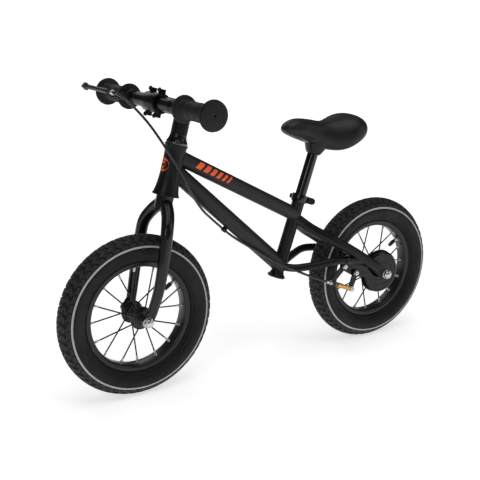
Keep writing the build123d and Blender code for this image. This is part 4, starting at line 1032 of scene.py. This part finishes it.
def stripe_grid(start, width):
    """A slanted parallelogram as a grid of points."""
    rows = []
    for j in range(STRIPE_ROWS + 1):
        share = j / STRIPE_ROWS
        left = start + STRIPE_SLANT * (share - 0.5)
        height = STRIPE_HALF * (2 * share - 1)
        across = range(STRIPE_COLUMNS + 1)
        rows.append([(left + width * i / STRIPE_COLUMNS, height) for i in across])
    return rows


def disc_grid(radius, inner=0.0, steps=48):
    angles = [2 * math.pi * i / steps for i in range(steps + 1)]
    reaches = (inner or 0.15, (inner + radius) / 2, radius)
    return [[(r * math.cos(a), r * math.sin(a)) for a in angles] for r in reaches]


def make_graphics():
    along = (TOP_REAR - TOP_FRONT).normalized()
    centre = TOP_FRONT + along * STRIPE_CENTRE * MM
    upward = Y_AXIS.cross(along).normalized()
    tilt = math.radians(STRIPE_TILT)
    grids = []
    at = STRIPE_START
    for width in STRIPES:
        grids.append(stripe_grid(at, width))
        at += width + STRIPE_GAP
    tree = solid_of("top_tube")
    for name, side in (("top_tube_stripes_left", LEFT), ("top_tube_stripes_right", RIGHT)):
        outward = (Y_AXIS * side * math.cos(tilt) + upward * math.sin(tilt)).normalized()
        rise = (upward - outward * upward.dot(outward)).normalized()
        spots = [([[(a * side, b) for a, b in row] for row in grid], 0, 0.0) for grid in grids]
        decal(name, tree, spots, centre, outward, rise, [orange_ink])

    badge = [(disc_grid(BADGE_RADIUS), 0, 0.0), (disc_grid(*BADGE_RING), 1, 0.08),
             (disc_grid(BADGE_DOT), 1, 0.08)]
    decal("head_badge", solid_of("head_tube"), badge, on_steerer(BADGE_HEIGHT), steer_forward,
          steer_up, [orange_ink, dark_ink])


CLAMP_AZIMUTH, CLAMP_HEIGHT = 222, 166
CLAMP_OUT = 12.9 + 3 + 4.5 - 1  # tube radius, collar, half an ear, overlap


def make_seat_clamp():
    azimuth = math.radians(CLAMP_AZIMUTH)
    ears = Vector((math.cos(azimuth), math.sin(azimuth), 0))
    ears = (ears - seat_up * ears.dot(seat_up)).normalized()
    along = seat_up.cross(ears)
    lug = on_seat_tube(CLAMP_HEIGHT) + ears * CLAMP_OUT * MM
    bolt = Piece("seat_clamp_bolt_finished")
    socket_bolt(bolt, lug + along * 17.55 * MM, along, 5.6, 6.0, 42)
    hex_head(bolt, lug - along * 25.6 * MM, -along, 5.0, 2.6, washer=6.4)
    for outward, reach in ((along, 11.4), (-along, 19.5)):
        boss = [(0, 4.6), (0, 6.2), (0.5, 6.9), (reach - 0.5, 6.9), (reach, 6.4), (reach, 4.6)]
        bolt.lathe(lug + outward * 6 * MM, outward, boss, segments=40, closed=True)
    bolt.make("frame", "black_bolts", replaces=("seat_clamp_bolt",), bevel=0.12, sharp=30)


def make_frame():
    weld("weld_top_tube_head", TOP_REAR, TOP_FRONT, TOP_BEAD, "head_tube")
    weld("weld_down_tube_head", DOWN_REAR, DOWN_FRONT, DOWN_BEAD, "head_tube")
    make_graphics()
    for node, bevel in (("seat_tube_cap", 0.5), ("seat_clamp", 0.5), ("cable_guide", 0.4),
                        ("brake_reaction_arm", 0.5), ("brake_strap", 0.3), ("brake_band", 0.2),
                        ("brake_drum", 0.4)):
        softened(node, bevel)
    for node in ("brake_arm", "cable_stop"):
        softened(node, 0.4, surfaces["brake_paint"])
    make_seat_clamp()


# ---- Rear brake ----


# forward of the rear hub, up from it, and left of it
PINCH_PLACE, STOP_PLACE = (89, -19, 55), (140, 2, 55)
# forward, up, and where the head's face is
BRAKE_BOLTS = ((77.0, 13.0, 48.35 + 3.05), (108.0, 32.0, 49.75 + 1.55))
BOLT_ROOT = 43
BRAKE_COVER = (
    (43.2, 7.6), (43.2, 42.6), (31.2, 43.0), (31.0, 43.6), (31.0, 46.2), (31.8, 46.8),
    (32.8, 46.4), (33.2, 45.4), (41.0, 45.0), (43.0, 44.2), (44.2, 42.6), (44.9, 40.0),
    (44.4, 38.6), (44.4, 33.0), (44.95, 32.2), (44.95, 30.2), (44.3, 29.2), (44.3, 22.0),
    (44.95, 21.2), (44.95, 7.6),
)
PINCH_ROD = ((0, 0.4), (0, 2.9), (12.4, 2.9), (12.8, 0.4))
PINCH_HEAD = (
    (0, 0.4), (0, 5.9), (0.3, 6.1), (3.1, 6.1), (3.4, 5.7), (3.4, 5.0, 6), (6.2, 5.0, 6, 5.6),
    (6.6, 4.8, 6, 5.0), (6.6, 0.4),
)
REAR_BARREL = (
    (-9, 0.95), (-9, 3.2), (-8.6, 3.6), *thread(-8.2, 0.4, 10, 3.6, 3.2), (-7.0, 5.2, 8),
    (-4.65, 5.2, 8), (-4.6, 3.6), *thread(4.6, 0.4, 10, 3.6, 3.2), (8.8, 3.1), (9, 0.95),
)
LINK_SLEEVE = (
    (0, 1.1), (0, 4.6), (0.6, 5.4), (9.0, 5.4), (10.0, 4.6), (28.0, 4.6), (29.0, 5.2),
    (36.0, 5.2), (36.6, 4.4), (36.6, 1.1),
)
WIRE_RADIUS, WIRE_STEPS = 0.8, 24

pinch = by_rear_hub(*PINCH_PLACE)
stop = by_rear_hub(*STOP_PLACE)
pull = (pinch - stop).normalized()
cable_end = stop - pull * 9 * MM


def make_brake():
    turned("brake_cover_finished", rear_hub, Y_AXIS, BRAKE_COVER, "frame", "brake_paint",
           ("brake_cover",), segments=96, bevel=0.15, sharp=30)
    bolts = Piece("brake_bolts_finished")
    for forward, up, face in BRAKE_BOLTS:
        hex_head(bolts, by_rear_hub(forward, up, face), Y_AXIS, 4.4, 3.2, washer=5.4)
        hex_head(bolts, by_rear_hub(forward, up, 45.0), -Y_AXIS, 4.4, 2.4)
        reach = face - BOLT_ROOT
        shank = [(0, 0.4), (0, 2.9), (reach, 2.9), (reach, 0.4)]
        bolts.lathe(by_rear_hub(forward, up, BOLT_ROOT), Y_AXIS, shank, segments=24)
    bolts.make("frame", "chrome", replaces=("brake_bolts",), bevel=0.1, sharp=30)

    clamp = Piece("cable_pinch_finished")
    clamp.lathe(by_rear_hub(*PINCH_PLACE[:2], 46.5), Y_AXIS, PINCH_ROD, segments=24)
    clamp.lathe(by_rear_hub(*PINCH_PLACE[:2], 48.4 + 3.05), Y_AXIS, PINCH_HEAD, segments=48)
    clamp.make("brake_arm", "chrome", replaces=("cable_pinch_bolt",), bevel=0.1, sharp=30)

    turned("rear_barrel_finished", stop, pull, REAR_BARREL, "frame", "chrome",
           ("rear_cable_barrel",), sharp=28)
    turned("brake_link_sleeve", pinch - pull * 43 * MM, pull, LINK_SLEEVE, "brake_arm",
           "zinc_yellow", segments=32, sharp=30)

    wire = Piece("brake_wire_flexing")
    low, high = stop - pull * 8.8 * MM, pinch - pull * 6.2 * MM
    wire.sweep([low.lerp(high, i / WIRE_STEPS) for i in range(WIRE_STEPS + 1)], WIRE_RADIUS)
    flexing = wire.make(None, "steel", replaces=("brake_wire",))
    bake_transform(flexing)


# ---- Cable ----

DOWN_TUBE_RADIUS, GUIDE_RISE, GUIDE_ALONG = 15.9, 5.4, 172
CABLE_RADIUS = 2.4
FRONT_VIA = (
    (262, -38, 542), (246, -4, 513), (230, 20, 478), (208, 33, 436), (184, 30, 392),
    (150, 18, 344),
)
REAR_VIA = ((33, 13, 249), (3, 20, 228), (-30, 34, 208), (-66, 48, 190), (-100, 55, 173.5))
FRONT_FERRULE = ((0, 2.3), (0, 3.2), (0.4, 3.5), (7.5, 3.3), (8.4, 2.9), (8.6, 2.3))
REAR_FERRULE = ((0, 2.3), (0, 3.0), (0.4, 3.3), (9, 3.1), (9.8, 2.7), (10, 2.3))


def make_sleeve(node, route, ferrule_at, along, ferrule, body, ferrule_look):
    """Half of the outer cable with its ferrule."""
    sleeve = Piece(node + "_sleeve")
    sleeve.sweep(smooth_route(route, 14), CABLE_RADIUS, segments=16)
    sleeve.lathe(ferrule_at, along, ferrule, segments=24, closed=True, finish=1)
    looks = [surfaces["cable_cover"], surfaces[ferrule_look]]
    return sleeve.make(body, "cable_cover", looks=looks, replaces=(node,))


def make_cable():
    down_run = (DOWN_REAR - DOWN_FRONT).normalized()
    below = Vector((-down_run.z, 0, down_run.x))
    guide = DOWN_FRONT + (down_run * GUIDE_ALONG + below * (DOWN_TUBE_RADIUS + GUIDE_RISE)) * MM
    start = on_lever(45, -79.5)
    lead = down_run * 22 * MM
    front_via = [Vector(place) * MM for place in FRONT_VIA]
    front = [start, start + Y_AXIS * 20 * MM, *front_via, guide - lead * 1.6, guide]
    piece = make_sleeve(
        "brake_cable_front", front, start - Y_AXIS * 0.3 * MM, Y_AXIS, FRONT_FERRULE, None,
        "black_plastic",
    )
    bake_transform(piece)
    rear = [guide, guide + lead, *(Vector(place) * MM for place in REAR_VIA), cable_end]
    make_sleeve(
        "brake_cable_rear", rear, cable_end + pull * 0.4 * MM, -pull, REAR_FERRULE, "frame",
        "chrome",
    )


# ---- Saddle ----

SADDLE_FRONT, SADDLE_LENGTH = -42.0, 200.0
# share from the nose, half width, top, bottom, side-bulge height share
SADDLE = (
    (0.00, 18.0, 484.0, 470.0, 0.45),
    (0.08, 23.0, 493.0, 464.0, 0.45),
    (0.17, 26.0, 497.0, 457.0, 0.42),
    (0.32, 29.0, 492.0, 446.0, 0.38),
    (0.44, 33.0, 486.0, 436.0, 0.34),
    (0.54, 43.0, 485.5, 429.0, 0.32),
    (0.64, 54.0, 491.0, 426.5, 0.34),
    (0.73, 59.0, 496.5, 431.0, 0.38),
    (0.82, 58.0, 498.0, 439.0, 0.42),
    (0.91, 49.0, 493.0, 449.0, 0.46),
    (1.00, 30.0, 480.0, 458.0, 0.50),
)
NOSE_ROUND, TAIL_ROUND = 0.075, 0.12  # shares of the length
COVER_INSET, COVER_SWELL = 1.6, 2.4
COVER_VOXEL = 0.004  # metres
CLOTH_FRAMES = 20
CLOTH = {
    "quality": 6, "use_pressure": True, "uniform_pressure_force": 3.0,
    "tension_stiffness": 25, "compression_stiffness": 25, "bending_stiffness": 2.5,
}
# (along the post, radius) of the neck that spreads from the post under the saddle
SADDLE_NECK = (
    (0, 11.3), (0, 12.8), (1.5, 14.8), (6, 17.4), (12, 20.4), (19, 23.4), (26, 26.0), (31, 27.0),
    (31, 11.3),
)


def end_round(share):
    """How much of a section's size is left near the rounded ends."""
    if share < NOSE_ROUND:
        return math.sqrt(max(0.0, 1 - ((NOSE_ROUND - share) / NOSE_ROUND) ** 2))
    if share > 1 - TAIL_ROUND:
        return math.sqrt(max(0.0, 1 - ((share - 1 + TAIL_ROUND) / TAIL_ROUND) ** 2))
    return 1.0


def saddle_ring(row, inset, segments=48):
    """A section of the saddle: a rounded shape, fuller below than above."""
    share, half, top, bottom, bulge = row
    full = end_round(share)
    widest = bottom + (top - bottom) * bulge
    half = max(half - inset, 1.0) * full
    up, down = (top - widest - inset) * full, (widest - bottom) * full
    x = SADDLE_FRONT - inset * 0.5 - (SADDLE_LENGTH - inset) * share
    ring = []
    for i in range(segments):
        angle = 2 * math.pi * i / segments
        c, s = math.cos(angle), math.sin(angle)
        reach, y_power, z_power = (up, 0.86, 0.92) if s > 0 else (down, 0.62, 0.75)
        y = half * math.copysign(abs(c) ** y_power, c)
        z = widest + reach * math.copysign(abs(s) ** z_power, s)
        ring.append(Vector((x, y, z)) * MM)
    return ring


def evaluated_mesh(piece):
    graph = bpy.context.evaluated_depsgraph_get()
    return bpy.data.meshes.new_from_object(piece.evaluated_get(graph))


def positions(mesh):
    return np.array([v.co for v in mesh.vertices], float)


def inflate(piece, voxel, cap):
    """Swell a closed pad with a short cloth simulation, no point moving more than cap mm."""
    remesh = piece.modifiers.new("remesh", "REMESH")
    remesh.mode = "VOXEL"
    remesh.voxel_size = voxel
    start = evaluated_mesh(piece)
    piece.modifiers.clear()
    piece.data = start
    work = bmesh.new()
    work.from_mesh(start)
    for _ in range(4):
        bmesh.ops.smooth_vert(
            work, verts=work.verts, factor=0.5, use_axis_x=True, use_axis_y=True, use_axis_z=True
        )
    work.to_mesh(start)
    work.free()
    rest = positions(start)
    cloth = piece.modifiers.new("cloth", "CLOTH")
    for setting, value in CLOTH.items():
        setattr(cloth.settings, setting, value)
    cloth.settings.effector_weights.gravity = 0
    cloth.point_cache.frame_start = 1
    cloth.point_cache.frame_end = CLOTH_FRAMES
    for step in range(1, CLOTH_FRAMES + 1):
        bpy.context.scene.frame_set(step)
    swollen = evaluated_mesh(piece)
    moved = positions(swollen) - rest
    reach = np.linalg.norm(moved, axis=1)
    moved *= np.minimum(1, cap * MM / np.maximum(reach, 1e-9))[:, None]
    piece.modifiers.clear()
    start.vertices.foreach_set("co", (rest + moved).astype(np.float32).ravel())
    bpy.context.scene.frame_set(1)
    bpy.data.meshes.remove(swollen)
    start.update()
    start.shade_smooth()
    smooth = piece.modifiers.new("smooth", "SUBSURF")
    smooth.levels = smooth.render_levels = 1


def make_saddle():
    rows = catmull(SADDLE, 61)
    pad = Piece("saddle_pad_cover")
    pad.rings([saddle_ring(row, COVER_INSET) for row in rows])
    mesh = bpy.data.meshes.new("saddle_pad_cover")
    mesh.from_pydata(pad.verts, [], pad.faces)
    tidy_mesh(mesh, sharp=60)
    mesh.materials.append(surfaces["saddle_cover"])
    piece = place_piece("saddle_pad_cover", mesh)
    inflate(piece, COVER_VOXEL, COVER_SWELL)
    if not piece.data.materials:
        piece.data.materials.append(surfaces["saddle_cover"])
    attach(piece, "seat")
    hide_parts("saddle_pad")

    base = Piece("saddle_base_finished")
    rings = []
    # The base hangs lowest in its front third and is set further in toward the rear.
    for share, half, _, bottom, _ in rows[4:-8]:
        drop = 8.0 * max(0.0, 1 - abs(share - 0.28) / 0.24)
        narrower = 3.0 + 11.0 * min(1.0, max(0.0, (share - 0.3) / 0.15))
        row = (share, half - narrower, bottom + 16.0, bottom + 5.0 - drop, 0.5)
        rings.append(saddle_ring(row, 1.0))
    base.rings(rings)
    base.lathe(on_seat_tube(259.0), seat_up, SADDLE_NECK, segments=56, closed=True)
    base.make("seat", "black_plastic", replaces=("saddle_base",), looks=[base_gloss], sharp=40)


# ---- Assembly ----


def dress_nodes():
    """Every CAD node takes the surface of its slot."""
    for name, node in nodes.items():
        node.data.materials.clear()
        node.data.materials.append(surfaces[slot_of[name]])
    nodes["handlebar"].data.materials[0] = bar_black


make_stage()
dress_nodes()
for end, hub in (("front", front_hub), ("rear", rear_hub)):
    make_wheel(end, hub)
make_axle("front", front_hub, "steering", FRONT_FACE)
make_axle("rear", rear_hub, "frame", REAR_FACE)
make_front_end()
make_frame()
make_brake()
make_cable()
make_saddle()
